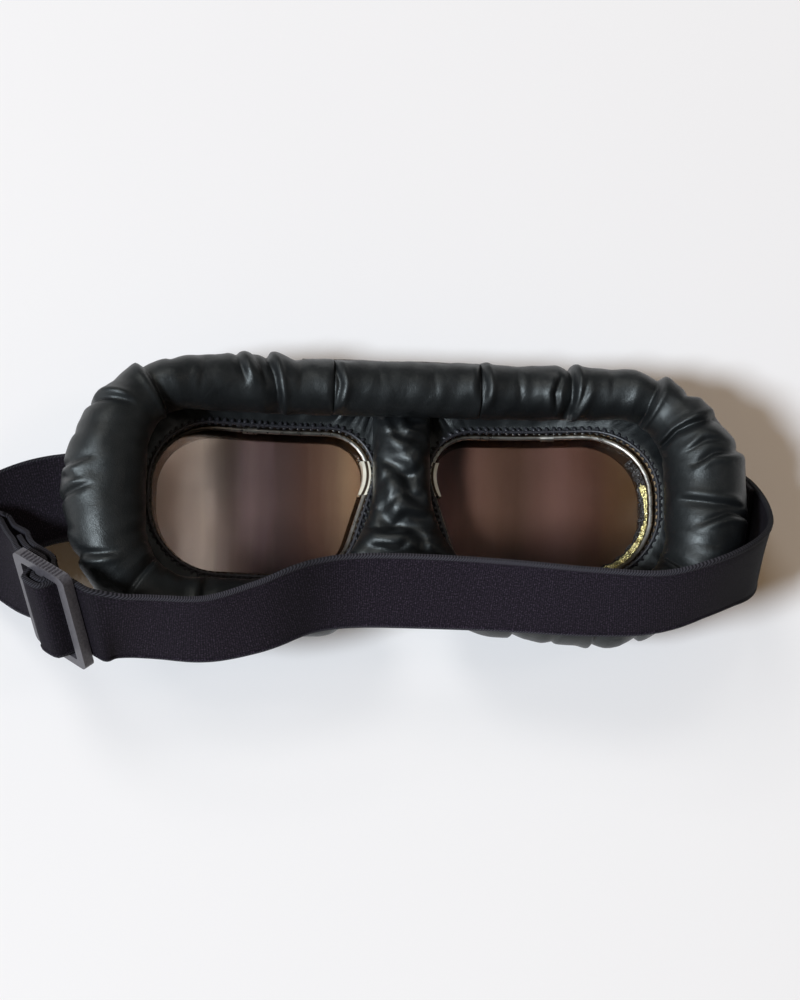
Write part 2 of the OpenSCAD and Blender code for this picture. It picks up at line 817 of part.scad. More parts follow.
module edge_stitching(side) {
    r = stitch_d / 2;
    path = [for (p = eye_coarse)
        let (q = pushed(p, r + seat_gap))
        [q[0], q[1], wrapped(q[0], leather_h1) + r + seat_gap, p[2]]];
    color("#101212")
        sided(side)
            ring_cord(path, r, 6);
}

// The nose pad: a crinkled saddle between the eye openings, wider towards the nostrils
nose_pad_y1 = roll_y_brow - brow_roll_d / 2 - 1.9;
nose_pad_creases = [10, 21, 29];

module nose_pad() {
    rows = 20;
    crown_n = 8;
    flare = 0.019;
    base_z = nose_leather_h + 1.6;
    color("#262e2d")
        loft(
            [for (i = [0 : rows])
                let (
                    t = i / rows,
                    y = nose_pad_y1 - nose_pad_l * t,
                    from_end = min(t, 1 - t) * nose_pad_l,
                    low = max(0, 6 - y),
                    half = (nose_gap / 2 - 1.6 + flare * low * low) * (from_end < 1 ? 0.92 : 1),
                    base = base_z + 0.35 * max(0, -8 - y),
                    crease = sum_of([for (c = nose_pad_creases) exp(-pow((nose_pad_l * t - c) / 2, 2))]),
                    crown = (nose_pad_t - 1.6 * crease) * (0.35 + 0.65 * sqrt(clamp01(from_end / 6)))
                )
                concat(
                    [[half, y, base]],
                    [for (j = [0 : crown_n])
                        let (a = 180 * j / crown_n)
                        [half * cos(a), y, base + 1.2 + crown * pow(sin(a), 0.8)]],
                    [[-half, y, base]]
                )]
        );
}

// The head strap is one elastic strip. Its middle line is a smooth curve through strap_points,
// and every place on it is given in mm along that line and in mm outside of it.
function blend(a, b, c, d, t) =
    0.5 * (2 * b + (c - a) * t + (2 * a - 5 * b + 4 * c - d) * t * t + (3 * b - a - 3 * c + d) * t * t * t);
strap_last = len(strap_points) - 1;
function reflected(p, q) = p + [2 * (q[0] - p[0]), 0, 0, 0];
function strap_knot(i) =
    i < 0 ? reflected(strap_points[1], strap_points[0])
    : i > strap_last ? reflected(strap_points[strap_last - 1], strap_points[strap_last])
    : strap_points[i];
function strap_at(u) =
    let (i = max(0, min(strap_last - 1, floor(u))))
    blend(strap_knot(i - 1), strap_knot(i), strap_knot(i + 1), strap_knot(i + 2), u - i);
function unit(v) = v / norm(v);
function place_of(p) = [p[0], p[1], p[2]];
function running(lengths, i = 0, total = 0) =
    i == len(lengths) ? [total] : concat([total], running(lengths, i + 1, total + lengths[i]));
curve_steps = 6;
curve_u = [for (i = [0 : strap_last * curve_steps]) i / curve_steps];
curve_s = running([for (i = [1 : len(curve_u) - 1])
    norm(place_of(strap_at(curve_u[i])) - place_of(strap_at(curve_u[i - 1])))]);
curve_table = [for (i = [0 : len(curve_u) - 1]) [curve_s[i], curve_u[i]]];
strap_l = curve_s[len(curve_s) - 1];

// The frame at s: its place, the strap's way, its width and its outward side
function curve_frame(s) =
    let (
        v = lookup(max(0, min(strap_l, s)), curve_table),
        p = strap_at(v),
        way = unit(place_of(strap_at(v + 0.02) - strap_at(v - 0.02))),
        lean = [0, cos(p[3]), sin(p[3])],
        width = unit(lean - (lean * way) * way)
    )
    [place_of(p) + (s - max(0, min(strap_l, s))) * way, way, width, cross(width, way)];

// The strap lies straight in its slider and bends again on both sides of it
slider_s = strap_l - slider_from_loop;
slider_frame = curve_frame(slider_s);
function strap_frame(s) =
    let (
        far = eased((abs(s - slider_s) - slider_l / 2 - 2) / 9),
        c = far > 0 ? curve_frame(s) : slider_frame,
        way = unit(mix(slider_frame[1], c[1], far)),
        lean = mix(slider_frame[2], c[2], far),
        width = unit(lean - (lean * way) * way)
    )
    [mix(slider_frame[0] + (s - slider_s) * slider_frame[1], c[0], far), way, width, cross(width, way)];

// One cross-section, from its place [s, d] and the way in which the strip passes it
function strap_section(q, run) =
    let (
        f = strap_frame(q[0]),
        r = unit(run),
        n = r[0] * f[3] - r[1] * f[1],
        m = f[0] + q[1] * f[3]
    )
    [
        m + n * strap_t / 2 - f[2] * strap_w / 2,
        m + n * strap_t / 2 + f[2] * strap_w / 2,
        m - n * strap_t / 2 + f[2] * strap_w / 2,
        m - n * strap_t / 2 - f[2] * strap_w / 2
    ];

layer = strap_t + layer_gap;
slider_z = strap_t / 2 + 0.25;
bar_top = slider_z + slider_t + strap_t / 2 + 0.25;
bar_side = slider_bar / 2 + strap_t / 2 + 0.25;
slot_end = slider_bar / 2 + slider_slot;
tail_s = slot_end + 5 + sewn_end * 0.4;

// A half turn round the outer leg of a temple loop, from one layer to the other
function half_turn(s, sense, from, to) =
    [for (i = [0 : 8])
        let (a = from + (to - from) * i / 8)
        [s + sense * turn_r * sin(a), turn_r * cos(a) - turn_r]];

// The strip over the slider's middle bar, on top of the sewn end that holds the bar
over_bar = [
    [-slot_end - 4, 0], [-slot_end + 0.7, 0], [-slot_end + 1.4, 0.5],
    [-bar_side - 2.5, bar_top * 0.5], [-bar_side - 1.9, bar_top * 0.9],
    [-bar_side - 0.9, bar_top + layer * 0.8], [-bar_side + 0.6, bar_top + layer],
    [0, bar_top + layer + 0.1],
    [bar_side - 0.6, bar_top + layer], [bar_side + 0.9, bar_top + layer * 0.8],
    [bar_side + 1.9, bar_top * 0.9], [bar_side + 2.5, bar_top * 0.5],
    [slot_end - 1.4, 0.5], [slot_end - 0.7, 0], [slot_end + 4, 0]
];

// The sewn end: up through the first slot, round the middle bar and back under itself
bar_hold = [
    [slot_end + 5, -2 * layer], [slot_end - 1, -2 * layer], [bar_side + 1.6, -layer * 1.85],
    [bar_side, -layer * 1.5], [bar_side - 1.55, -layer * 0.8], [-0.6, -0.7], [-bar_side + 0.7, 0],
    [-bar_side, 1.2], [-bar_side, bar_top - 1.1], [-bar_side + 0.5, bar_top - 0.3],
    [-bar_side + 1.2, bar_top], [bar_side - 1.2, bar_top], [bar_side - 0.5, bar_top - 0.3],
    [bar_side, bar_top - 1.1], [bar_side, 2.2],
    [bar_side + 0.2, 1], [bar_side + 1.05, -0.6], [bar_side + 2.5, -layer * 0.82], [slot_end - 1, -layer],
    [slot_end + 5, -layer], [tail_s, -layer]
];

function near_slider(steps) = [for (p = steps) [slider_s + p[0], p[1]]];
function spaced(a, b, step) = let (n = ceil((b - a) / step)) [for (i = [0 : n]) mix(a, b, i / n)];

// How deep the returning layer lies under the outer one, and under the sewn end beside the slider
return_n = 11;
function return_depth(s) =
    -layer - return_slack * sin(180 * (s - slider_s - slot_end) / (strap_l - slider_s - slot_end))
    - layer * (1 - eased((s - slider_s - tail_s - 1) / 8));

strip = concat(
    [[sewn_end, -layer], [sewn_end * 0.6, -layer], [sewn_end * 0.35, -layer]],
    [[3, -layer * 1.4], [1, -2 * turn_r + 0.1]],
    half_turn(0, -1, 180, 0),
    [for (s = spaced(2, slider_s - slot_end - 8, strap_step)) [s, 0]],
    near_slider(over_bar),
    [for (s = spaced(slider_s + slot_end + 8, strap_l - 2, strap_step)) [s, 0]],
    half_turn(strap_l, 1, 0, 180),
    [[strap_l - 1, -2 * turn_r + 0.1], [strap_l - 3.5, -layer * 1.4]],
    [for (i = [0 : return_n])
        let (s = mix(strap_l - 7, slider_s + slot_end + 9, i / return_n))
        [s, return_depth(s)]],
    near_slider(bar_hold)
);

module head_strap() {
    last = len(strip) - 1;
    color("#1f1a22")
        loft([for (i = [0 : last]) strap_section(strip[i], strip[min(i + 1, last)] - strip[max(i - 1, 0)])]);
}

// The strap slider: a moulded frame with a middle bar and a ribbed grip edge
module rounded_area(l, w, r) {
    polygon([for (q = [[1, 1, 0], [-1, 1, 90], [-1, -1, 180], [1, -1, 270]], i = [0 : 5])
        let (a = q[2] + 18 * i)
        [q[0] * (l / 2 - r) + r * cos(a), q[1] * (w / 2 - r) + r * sin(a)]]);
}

module strap_slider() {
    f = slider_frame;
    slot_w = strap_w + 1;
    corner_r = 2;
    rib_n = floor((slider_l - 3 * corner_r) / rib_pitch);
    color("#3a3a3e")
        multmatrix([
            [f[1][0], f[2][0], f[3][0], f[0][0]],
            [f[1][1], f[2][1], f[3][1], f[0][1]],
            [f[1][2], f[2][2], f[3][2], f[0][2]]
        ])
            translate([0, 0, slider_z]) {
                difference() {
                    linear_extrude(slider_t)
                        rounded_area(slider_l, slider_w, corner_r);
                    for (s = [-1, 1])
                        translate([s * (slider_bar + slider_slot) / 2, 0, -1])
                            linear_extrude(slider_t + 2)
                                rounded_area(slider_slot, slot_w, 0.8);
                }
                for (s = [-1, 1], i = [0 : rib_n])
                    translate([(i - rib_n / 2) * rib_pitch, s * slider_w / 2, slider_t * 0.1])
                        cylinder(h = slider_t * 0.8, d = rib_pitch / 2, $fn = 24);
            }
}

front_frame(left);  // front_frame_left
front_frame(right);  // front_frame_right
lens(left);  // lens_left
lens(right);  // lens_right
lens_seat_strip(left);  // lens_seat_strip_left
lens_seat_strip(right);  // lens_seat_strip_right
retaining_wire(left);  // retaining_wire_left
retaining_wire(right);  // retaining_wire_right
wire_ferrule(left);  // wire_ferrule_left
wire_ferrule(right);  // wire_ferrule_right
packing_foil(right);  // packing_foil_right
hinge_leaf(left);  // hinge_leaf_left
hinge_leaf(right);  // hinge_leaf_right
hinge_pin();
temple_bracket(left);  // temple_bracket_left
temple_bracket(right);  // temple_bracket_right
bracket_rivets(left);  // bracket_rivets_left
bracket_rivets(right);  // bracket_rivets_right
strap_loop(left);  // strap_loop_left
strap_loop(right);  // strap_loop_right
mask_leather(left);  // mask_leather_left
mask_leather(right);  // mask_leather_right
edge_stitching(left);  // edge_stitching_left
edge_stitching(right);  // edge_stitching_right
padded_roll(left);  // padded_roll_left
padded_roll(right);  // padded_roll_right
roll_foam(left);  // roll_foam_left
roll_foam(right);  // roll_foam_right
bridge_roll();
bridge_foam();
nose_pad();
head_strap();
strap_slider();
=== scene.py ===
# %% [markdown]
# # Aviator goggles, lying face down
# The goggles lie on their metal frames with the padded side up and the strap flopped over the
# cheeks. The metal parts, the lenses and the slider come from the CAD model and get their finish
# here. Leather, padding, thread and webbing are made here, on the places that the model gives.

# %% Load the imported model
import math
import random

import bpy
import mathutils
import numpy as np
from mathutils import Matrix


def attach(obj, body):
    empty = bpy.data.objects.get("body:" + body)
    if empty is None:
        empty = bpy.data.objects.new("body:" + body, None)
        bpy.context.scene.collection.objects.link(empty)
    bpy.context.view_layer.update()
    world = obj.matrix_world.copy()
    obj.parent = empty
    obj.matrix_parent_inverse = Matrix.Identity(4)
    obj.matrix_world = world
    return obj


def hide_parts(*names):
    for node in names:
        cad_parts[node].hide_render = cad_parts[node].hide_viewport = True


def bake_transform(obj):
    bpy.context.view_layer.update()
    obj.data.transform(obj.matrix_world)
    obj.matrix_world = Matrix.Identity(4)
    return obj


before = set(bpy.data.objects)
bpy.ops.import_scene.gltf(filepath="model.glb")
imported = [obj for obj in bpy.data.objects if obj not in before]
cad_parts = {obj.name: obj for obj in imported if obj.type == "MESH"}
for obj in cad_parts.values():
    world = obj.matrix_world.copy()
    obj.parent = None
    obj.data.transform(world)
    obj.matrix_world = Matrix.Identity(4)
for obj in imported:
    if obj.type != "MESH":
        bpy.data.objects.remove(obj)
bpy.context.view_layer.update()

MM = 0.001


# %% [markdown]
# ## The camera
# A photographer held the camera almost straight above the table, about half a metre away. The
# slight tilt from the cheek side is what shows the lower edge of the strap.

# %% Camera
TARGET = np.array([0, 0, 25 * MM])
DISTANCE = 550 * MM
TILT_LEFT, TILT_DOWN = math.radians(7), math.radians(10)

looking_back = np.array([-math.tan(TILT_LEFT), -math.tan(TILT_DOWN), 1.0])
looking_back /= np.linalg.norm(looking_back)
right = np.cross([0, 1, 0], looking_back)
right /= np.linalg.norm(right)
up = np.cross(looking_back, right)
place = TARGET + DISTANCE * looking_back
pose = mathutils.Matrix(
    [[*row, place[i]] for i, row in enumerate(zip(right, up, looking_back))] + [[0, 0, 0, 1]])

bpy.ops.object.camera_add(location=pose.to_translation(), rotation=pose.to_euler())
camera = bpy.context.object
camera.name = "camera"
camera.data.sensor_width = 36
camera.data.lens = 69.12
camera.data.shift_x = -0.006
camera.data.shift_y = -0.003
bpy.context.scene.camera = camera
print("camera at", [round(v, 3) for v in camera.location])


# %% [markdown]
# ## Small helpers for modelling
# Operators act on whatever is selected, so each step first selects one object alone. A finished
# object is applied at the origin, with its place in its mesh.

# %% Selection and finishing helpers
def only(piece):
    bpy.ops.object.select_all(action="DESELECT")
    piece.select_set(True)
    bpy.context.view_layer.objects.active = piece


def settle(piece):
    only(piece)
    bpy.ops.object.transform_apply(location=True, rotation=True, scale=True)
    return piece


def apply_modifiers(piece):
    only(piece)
    for modifier in list(piece.modifiers):
        bpy.ops.object.modifier_apply(modifier=modifier.name)
    return piece


def dressed(piece, material, angle=180):
    only(piece)
    bpy.ops.object.shade_smooth_by_angle(angle=math.radians(angle))
    piece.data.materials.clear()
    piece.data.materials.append(material)
    return piece


def thicken(piece, thickness, group=""):
    only(piece)
    bpy.ops.object.modifier_add(type="SOLIDIFY")
    shell = piece.modifiers[-1]
    shell.thickness, shell.offset, shell.vertex_group = thickness * MM, 0, group


def outwards(piece):
    only(piece)
    bpy.ops.object.mode_set(mode="EDIT")
    bpy.ops.mesh.select_all(action="SELECT")
    bpy.ops.mesh.remove_doubles(threshold=1e-6)
    bpy.ops.mesh.normals_make_consistent(inside=False)
    bpy.ops.object.mode_set(mode="OBJECT")
    return piece


def join(pieces, name):
    bpy.ops.object.select_all(action="DESELECT")
    for piece in pieces:
        piece.select_set(True)
    bpy.context.view_layer.objects.active = pieces[0]
    bpy.ops.object.join()
    bpy.context.object.name = name
    return bpy.context.object


# %% Helper: a soft skin through rings of points, in millimetres
def soft_skin(name, rings, round_rings=True, round_rows=False, caps=False):
    rows, n = len(rings), len(rings[0])
    points = [tuple(float(v) * MM for v in p) for ring in rings for p in ring]
    faces = []
    for i in range(rows if round_rows else rows - 1):
        for j in range(n if round_rings else n - 1):
            a, b = i * n + j, i * n + (j + 1) % n
            c, d = ((i + 1) % rows) * n + (j + 1) % n, ((i + 1) % rows) * n + j
            faces.append((a, b, c, d))
    if caps:
        faces.append(tuple(range(n))[::-1])
        faces.append(tuple(range((rows - 1) * n, rows * n)))
    mesh = bpy.data.meshes.new(name)
    mesh.from_pydata(points, [], faces)
    piece = bpy.data.objects.new(name, mesh)
    bpy.context.scene.collection.objects.link(piece)
    return outwards(piece)


# %% [markdown]
# ## Materials
# Each finish is a small network of procedural textures on Object coordinates, in real sizes, or
# on a piece's own UV map where a pattern has to follow the strap.

# %% A finish: one material, and short ways to add nodes to it
class Finish:
    def __init__(self, name):
        self.material = bpy.data.materials.new(name)
        self.material.use_nodes = True
        self.tree = self.material.node_tree
        self.tree.nodes.clear()
        self.shader = self.add("BsdfPrincipled")
        self.output = self.add("OutputMaterial")
        self.tree.links.new(self.shader.outputs[0], self.output.inputs["Surface"])

    def add(self, kind, settings={}, **inputs):
        node = self.tree.nodes.new("ShaderNode" + kind)
        for key, value in settings.items():
            setattr(node, key, value)
        for key, value in inputs.items():
            self.feed(node, key.replace("_", " "), value)
        return node

    def feed(self, node, socket, value):
        target = node.inputs[socket]
        if isinstance(value, bpy.types.NodeSocket):
            self.tree.links.new(value, target)
        else:
            target.default_value = value

    def shade(self, **inputs):
        for key, value in inputs.items():
            self.feed(self.shader, key.replace("_", " "), value)
        return self.material

    def ramp(self, source, stops):
        node = self.add("ValToRGB")
        while len(node.color_ramp.elements) < len(stops):
            node.color_ramp.elements.new(0.5)
        for element, (place, colour) in zip(node.color_ramp.elements, stops):
            element.position = place
            element.color = (*(np.ones(3) * colour), 1)
        self.feed(node, "Fac", source)
        return node.outputs["Color"]

    def noise(self, place, scale, detail=3, roughness=0.5, distortion=0):
        node = self.add("TexNoise", Vector=place, Scale=scale, Detail=detail,
                        Roughness=roughness, Distortion=distortion)
        return node.outputs["Fac"]

    def math(self, kind, *values):
        node = self.add("Math", {"operation": kind})
        for socket, value in enumerate(values):
            self.feed(node, socket, value)
        return node.outputs[0]

    def scaled(self, value, factor, offset):
        return self.math("MULTIPLY_ADD", value, factor, offset)

    def bump(self, height, distance, below=None):
        node = self.add("Bump", Height=height, Distance=distance, Strength=1)
        if below is not None:
            self.feed(node, "Normal", below)
        return node.outputs["Normal"]

    def place(self):
        return self.add("TexCoord").outputs["Object"]

    def split(self, place):
        return self.add("SeparateXYZ", Vector=place).outputs

    def mapped(self, place, scale):
        return self.add("Mapping", Vector=place, Scale=scale).outputs["Vector"]

    def mixed(self, factor, first, second, how="MIX"):
        node = self.add("Mix", {"data_type": "RGBA", "blend_type": how})
        self.feed(node, "Factor", factor)
        self.feed(node, 6, first)
        self.feed(node, 7, second)
        return node.outputs[2]


# %% [markdown]
# ### Leather
# The rolls and the mask are thin black leather with a green cast. It is smooth to the eye, with a
# grain of tiny cells that only softens the reflections, and it is duller where it is handled.

# %% Leather finish
def leather_finish(name, crease, gloss):
    leather = Finish(name)
    place = leather.place()
    bloom = leather.noise(place, 55, 4, 0.6)
    handled = leather.noise(place, 120, 4, 0.6)
    cells = leather.add("TexVoronoi", {"feature": "DISTANCE_TO_EDGE"},
                        Vector=place, Scale=2100, Randomness=1)
    grain = leather.ramp(cells.outputs["Distance"], [(0, 0), (0.2, 1)])
    soft = leather.bump(leather.noise(place, 150, 3, 0.5, 0.8), crease * MM)
    return leather.shade(
        Base_Color=leather.ramp(bloom, [(0.3, (0.004, 0.0046, 0.0054)),
                                        (0.7, (0.0085, 0.0098, 0.0108))]),
        Roughness=leather.ramp(handled, [(0.3, gloss - 0.05), (0.75, gloss + 0.08)]),
        Specular_IOR_Level=0.6,
        Specular_Tint=(0.95, 1, 0.985, 1),
        Normal=leather.bump(grain, 0.02 * MM, soft))


black_leather = leather_finish("black_leather", 0.24, 0.43)
crinkled_leather = leather_finish("crinkled_leather", 0.22, 0.38)
print("leather:", black_leather.name, crinkled_leather.name)


# %% [markdown]
# ### Metals
# The frames are brass that has dulled. The wires, hinge and loops have a paler gold plating.
# Fine scratches and finger marks break up the reflections.

# %% Distance from a round edge, for marks that follow it
def from_centre(finish, parts, x, y):
    """Distance in metres from the upright line at x, y (mm), the same on the left and right."""
    dx = finish.math("SUBTRACT", finish.math("ABSOLUTE", parts["X"]), x * MM)
    dy = finish.math("SUBTRACT", parts["Y"], y * MM)
    squares = [finish.math("MULTIPLY", d, d) for d in (dx, dy)]
    return finish.math("SQRT", finish.math("ADD", *squares))


# %% Metal finishes
def claw_gap_shade(metal, place):
    """The claws are two bent bars side by side; a painted shade line marks the gap between them."""
    reach = from_centre(metal, metal.split(place), 21.5, 9)
    off = metal.math("ABSOLUTE", metal.math("SUBTRACT", reach, 11.95 * MM))
    return metal.ramp(metal.math("MULTIPLY", off, 500),
                      [(0.16, (0.06, 0.045, 0.035)), (0.24, (1, 1, 1))])


def wire_painted_shade(metal, place):
    """Painted shade: the plating is painted darker at the left temple and under the cheeks."""
    parts = metal.split(place)
    painted_shade = metal.ramp(metal.scaled(parts["X"], 5, 0.5),
                      [(0.22, (0.14, 0.12, 0.1)), (0.28, (0.95, 0.95, 0.95))])
    low = metal.ramp(metal.scaled(parts["Y"], 25, 0.5),
                     [(0.1, (0.2, 0.17, 0.14)), (0.35, (0.97, 0.97, 0.97))])
    return metal.mixed(1, painted_shade, low, "MULTIPLY")


def metal_finish(name, bright, dull, rough, painted_shade_marks=None):
    metal = Finish(name)
    place = metal.place()
    colour = metal.ramp(metal.noise(place, 180, 5, 0.65), [(0.35, bright), (0.7, dull)])
    # Painted shade marks, such as the claws' gap and the shaded wire, darken the colour.
    if painted_shade_marks:
        colour = metal.mixed(1, colour, painted_shade_marks(metal, place), "MULTIPLY")
    scratches = metal.noise(metal.mapped(place, (260, 2600, 900)), 1, 2, 0.5)
    return metal.shade(
        Base_Color=colour,
        Metallic=1,
        Roughness=metal.ramp(metal.noise(place, 420, 4, 0.6), [(0.3, rough), (0.75, rough + 0.16)]),
        Normal=metal.bump(scratches, 0.004 * MM))


brass = metal_finish("aged_brass", (0.17, 0.12, 0.072), (0.07, 0.048, 0.032), 0.32)
pale_gold = metal_finish("pale_gold", (0.98, 0.92, 0.78), (0.9, 0.82, 0.66), 0.42, claw_gap_shade)
wire_plating = metal_finish("wire_plating", (0.92, 0.88, 0.8), (0.62, 0.57, 0.49), 0.24, wire_painted_shade)


# %% Crumpled foil finish
def foil_finish():
    """Bright where it stands outside a ragged edge below the brow, and dark elsewhere."""
    foil = Finish("crumpled_foil")
    place = foil.place()
    parts = foil.split(place)
    facets = foil.add("TexVoronoi", Vector=place, Scale=2000, Randomness=1)
    facet = facets.outputs["Distance"]
    reach = from_centre(foil, parts, 54, -1.5)
    ragged = foil.scaled(foil.noise(place, 500, 3, 0.6), 1.2 * MM, reach)
    height = foil.scaled(foil.noise(place, 400, 2), 6 * MM, parts["Y"])
    bright_part = foil.math("MULTIPLY", foil.math("GREATER_THAN", ragged, 17.9 * MM),
                     foil.math("LESS_THAN", height, 9 * MM))
    gold = foil.ramp(facet, [(0, (0.93, 0.82, 0.42)), (0.9, (0.6, 0.5, 0.2))])
    creased = foil.bump(foil.noise(place, 1200, 3, 0.6, 0.6), 0.35 * MM)
    return foil.shade(
        Base_Color=foil.mixed(bright_part, (0.012, 0.008, 0.006, 1), gold),
        Metallic=bright_part,
        Roughness=foil.ramp(foil.noise(place, 900, 3, 0.6), [(0.3, 0.2), (0.7, 0.38)]),
        Normal=foil.bump(facet, 0.22 * MM, creased))


brass_foil = foil_finish()


# %% [markdown]
# ### Lenses
# The lenses are brown smoke glass. In the photo their tone runs from a light patch over mauve to
# amber across one lens, and from brown to olive across the other. Part of that is a reflection of
# the room and the brass, and part is light and shade on the table under the glass. Both are
# painted here into the tint, as a slow change across each lens: painted reflection and painted
# light. A Transparent shader for shadow rays lets the lamps shine through the glass on the table.

# %% Lens finish, with its tints and painted reflections as [mm across the goggles, colour]
LENS_TINTS_AND_REFLECTIONS = [
    (-76, (0.62, 0.54, 0.5)), (-67, (0.8, 0.68, 0.62)), (-59, (0.97, 0.88, 0.8)),
    (-47, (0.5, 0.41, 0.4)), (-36, (0.25, 0.2, 0.187)), (-25, (0.28, 0.204, 0.173)),
    (-16, (0.43, 0.35, 0.27)), (-10, (0.44, 0.34, 0.26)), (12, (0.6, 0.42, 0.39)),
    (24, (0.335, 0.25, 0.21)), (35, (0.257, 0.19, 0.158)), (47, (0.355, 0.262, 0.235)),
    (58, (0.245, 0.167, 0.135)), (67, (0.27, 0.2, 0.13)),
]
TINTED_WIDTH = 0.16


def lens_finish():
    smoke = Finish("smoke_lens")
    place = smoke.place()
    parts = smoke.split(place)
    streaks = smoke.noise(smoke.mapped(place, (90, 9, 1)), 1, 3, 0.55)
    across = smoke.math("SUBTRACT", parts["X"], 0.008)
    swayed = smoke.scaled(streaks, 0.016, across)
    # Painted reflection and light: the tint changes across each lens, swayed in vertical streaks.
    tint_and_reflection = smoke.ramp(smoke.scaled(swayed, 1 / TINTED_WIDTH, 0.5),
                      [(x * MM / TINTED_WIDTH + 0.5, colour) for x, colour in LENS_TINTS_AND_REFLECTIONS])
    # The tint is also painted lighter towards the top, in random patches.
    height = smoke.scaled(parts["Y"], 25, 0.75)
    patchy = smoke.scaled(smoke.noise(place, 45, 2, 0.5), 0.5, height)
    shade = smoke.ramp(patchy, [(0.45, (0.68, 0.68, 0.7)), (0.95, (0.98, 0.98, 0.98))])
    colour = smoke.mixed(1, tint_and_reflection, shade, "MULTIPLY")
    smoke.shade(
        Base_Color=colour,
        Roughness=smoke.ramp(smoke.noise(place, 90, 4, 0.6), [(0.35, 0.12), (0.7, 0.22)]),
        Transmission_Weight=1,
        IOR=1.45,
        Normal=smoke.bump(smoke.noise(place, 60, 3, 0.5), 0.02 * MM))
    choose = smoke.add("MixShader")
    smoke.feed(choose, 0, smoke.add("LightPath").outputs["Is Shadow Ray"])
    smoke.feed(choose, 1, smoke.shader.outputs[0])
    smoke.feed(choose, 2, smoke.add("BsdfTransparent", Color=colour).outputs[0])
    smoke.feed(smoke.output, "Surface", choose.outputs[0])
    return smoke.material


smoke_lens = lens_finish()


# %% [markdown]
# ### Webbing, thread and plastic
# The strap is black elastic with a slight purple cast, speckled where single threads catch the
# light. Fine ribs run across it, and a twisted cord runs along its edges. The pattern reads the
# strap's own UV map, which is in millimetres: along the strap, and across from its middle. The
# painted shade, darker where the strap turns away from the lamps, is [mm across the goggles,
# share of the colour].

# %% Webbing finish
# Painted shade: the strap is darker where it turns away from the lamps.
STRAP_PAINTED_SHADES = [
    (-120, 0.5), (-100, 0.6), (-92, 0.45), (-84, 0.6), (-76, 1), (-45, 0.95), (-30, 0.5),
    (-14, 1), (20, 1.15), (55, 0.9), (78, 0.7), (92, 0.36), (112, 0.4),
]


def webbing_finish():
    webbing = Finish("elastic_webbing")
    flat = webbing.add("UVMap", {"uv_map": "weave"}).outputs["UV"]
    ribs = webbing.add("TexWave", {"bands_direction": "X"},
                       Vector=flat, Scale=0.52, Distortion=2, Detail=2).outputs["Fac"]
    twist = webbing.add("TexWave", {"bands_direction": "DIAGONAL"},
                        Vector=flat, Scale=0.8, Distortion=1.5, Detail=1).outputs["Fac"]
    speckle = webbing.noise(flat, 1.9, 3, 0.85)
    threads = webbing.scaled(ribs, 0.08, webbing.math("MULTIPLY", speckle, 0.95))
    body = webbing.ramp(threads, [(0.38, (0.003, 0.0028, 0.0048)), (0.54, (0.0115, 0.0082, 0.0148)),
                                  (0.74, (0.075, 0.058, 0.088))])
    # Painted shade: darker where the strap turns away from the lamps.
    across = webbing.scaled(webbing.split(webbing.place())["X"], 4, 0.5)
    painted_shade = webbing.ramp(across, [(x * 4 * MM + 0.5, share) for x, share in STRAP_PAINTED_SHADES])
    away = webbing.math("ABSOLUTE", webbing.split(flat)["Y"])
    edge = webbing.ramp(webbing.scaled(away, 0.5, -5.65), [(0.1, 0), (0.2, 1)])
    cord = webbing.ramp(twist, [(0.2, (0.01, 0.01, 0.013)), (0.8, (0.062, 0.06, 0.075))])
    return webbing.shade(
        Base_Color=webbing.mixed(1, webbing.mixed(edge, body, cord), painted_shade, "MULTIPLY"),
        Roughness=webbing.ramp(speckle, [(0.3, 0.74), (0.7, 0.9)]),
        Specular_IOR_Level=0.15,
        Normal=webbing.bump(threads, 0.12 * MM))


elastic_webbing = webbing_finish()


# %% Thread, plastic and piping finishes
def plain_finish(name, dark, light, rough, scale, depth):
    plain = Finish(name)
    fine = plain.noise(plain.place(), scale, 4, 0.6)
    return plain.shade(
        Base_Color=plain.ramp(fine, [(0.35, dark), (0.7, light)]),
        Roughness=plain.ramp(fine, [(0.3, rough - 0.08), (0.7, rough + 0.08)]),
        Normal=plain.bump(fine, depth * MM))


black_thread = plain_finish(
    "black_thread", (0.01, 0.01, 0.013), (0.045, 0.046, 0.054), 0.36, 2400, 0.05)
dark_plastic = plain_finish(
    "dark_plastic", (0.048, 0.046, 0.054), (0.092, 0.088, 0.102), 0.38, 1500, 0.03)
brown_piping = plain_finish(
    "brown_piping", (0.022, 0.014, 0.01), (0.07, 0.045, 0.033), 0.5, 900, 0.05)


# %% Finishes for the CAD pieces
SIDES = ("left", "right")


def both_sides(*names):
    return [f"{name}_{side}" for name in names for side in SIDES]


def paint(material, *nodes):
    for name in nodes:
        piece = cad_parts[name]
        piece.data.materials.clear()
        piece.data.materials.append(material)


paint(brass, *both_sides("front_frame", "lens_seat_strip", "temple_bracket", "bracket_rivets"))
paint(pale_gold, *both_sides("hinge_leaf", "strap_loop"), "hinge_pin")
paint(wire_plating, *both_sides("retaining_wire", "wire_ferrule"))
paint(brass_foil, "packing_foil_right")
paint(smoke_lens, *both_sides("lens"))
paint(dark_plastic, "strap_slider")
print("painted the CAD pieces")


# %% [markdown]
# ## Outlines shared by the leather pieces
# An eye opening is four corner circles and the lines that touch them, and the middle line of the
# padded roll is another four. These are the same circles as in the CAD model, in millimetres, so
# the leather lands where the metal is.

# %% Outlines from corner circles
EYE_CIRCLES = [(21.5, 9, 13), (54, 2.5, 19.5), (54, -2.5, 19.5), (29.5, -6, 16)]
ROLL_CIRCLES = [(14, 21.8, 10), (61.3, 7.8, 24), (61.3, -9.6, 24), (28, -13.6, 20)]
WRAP_RADIUS, WRAP_X = 120, 22


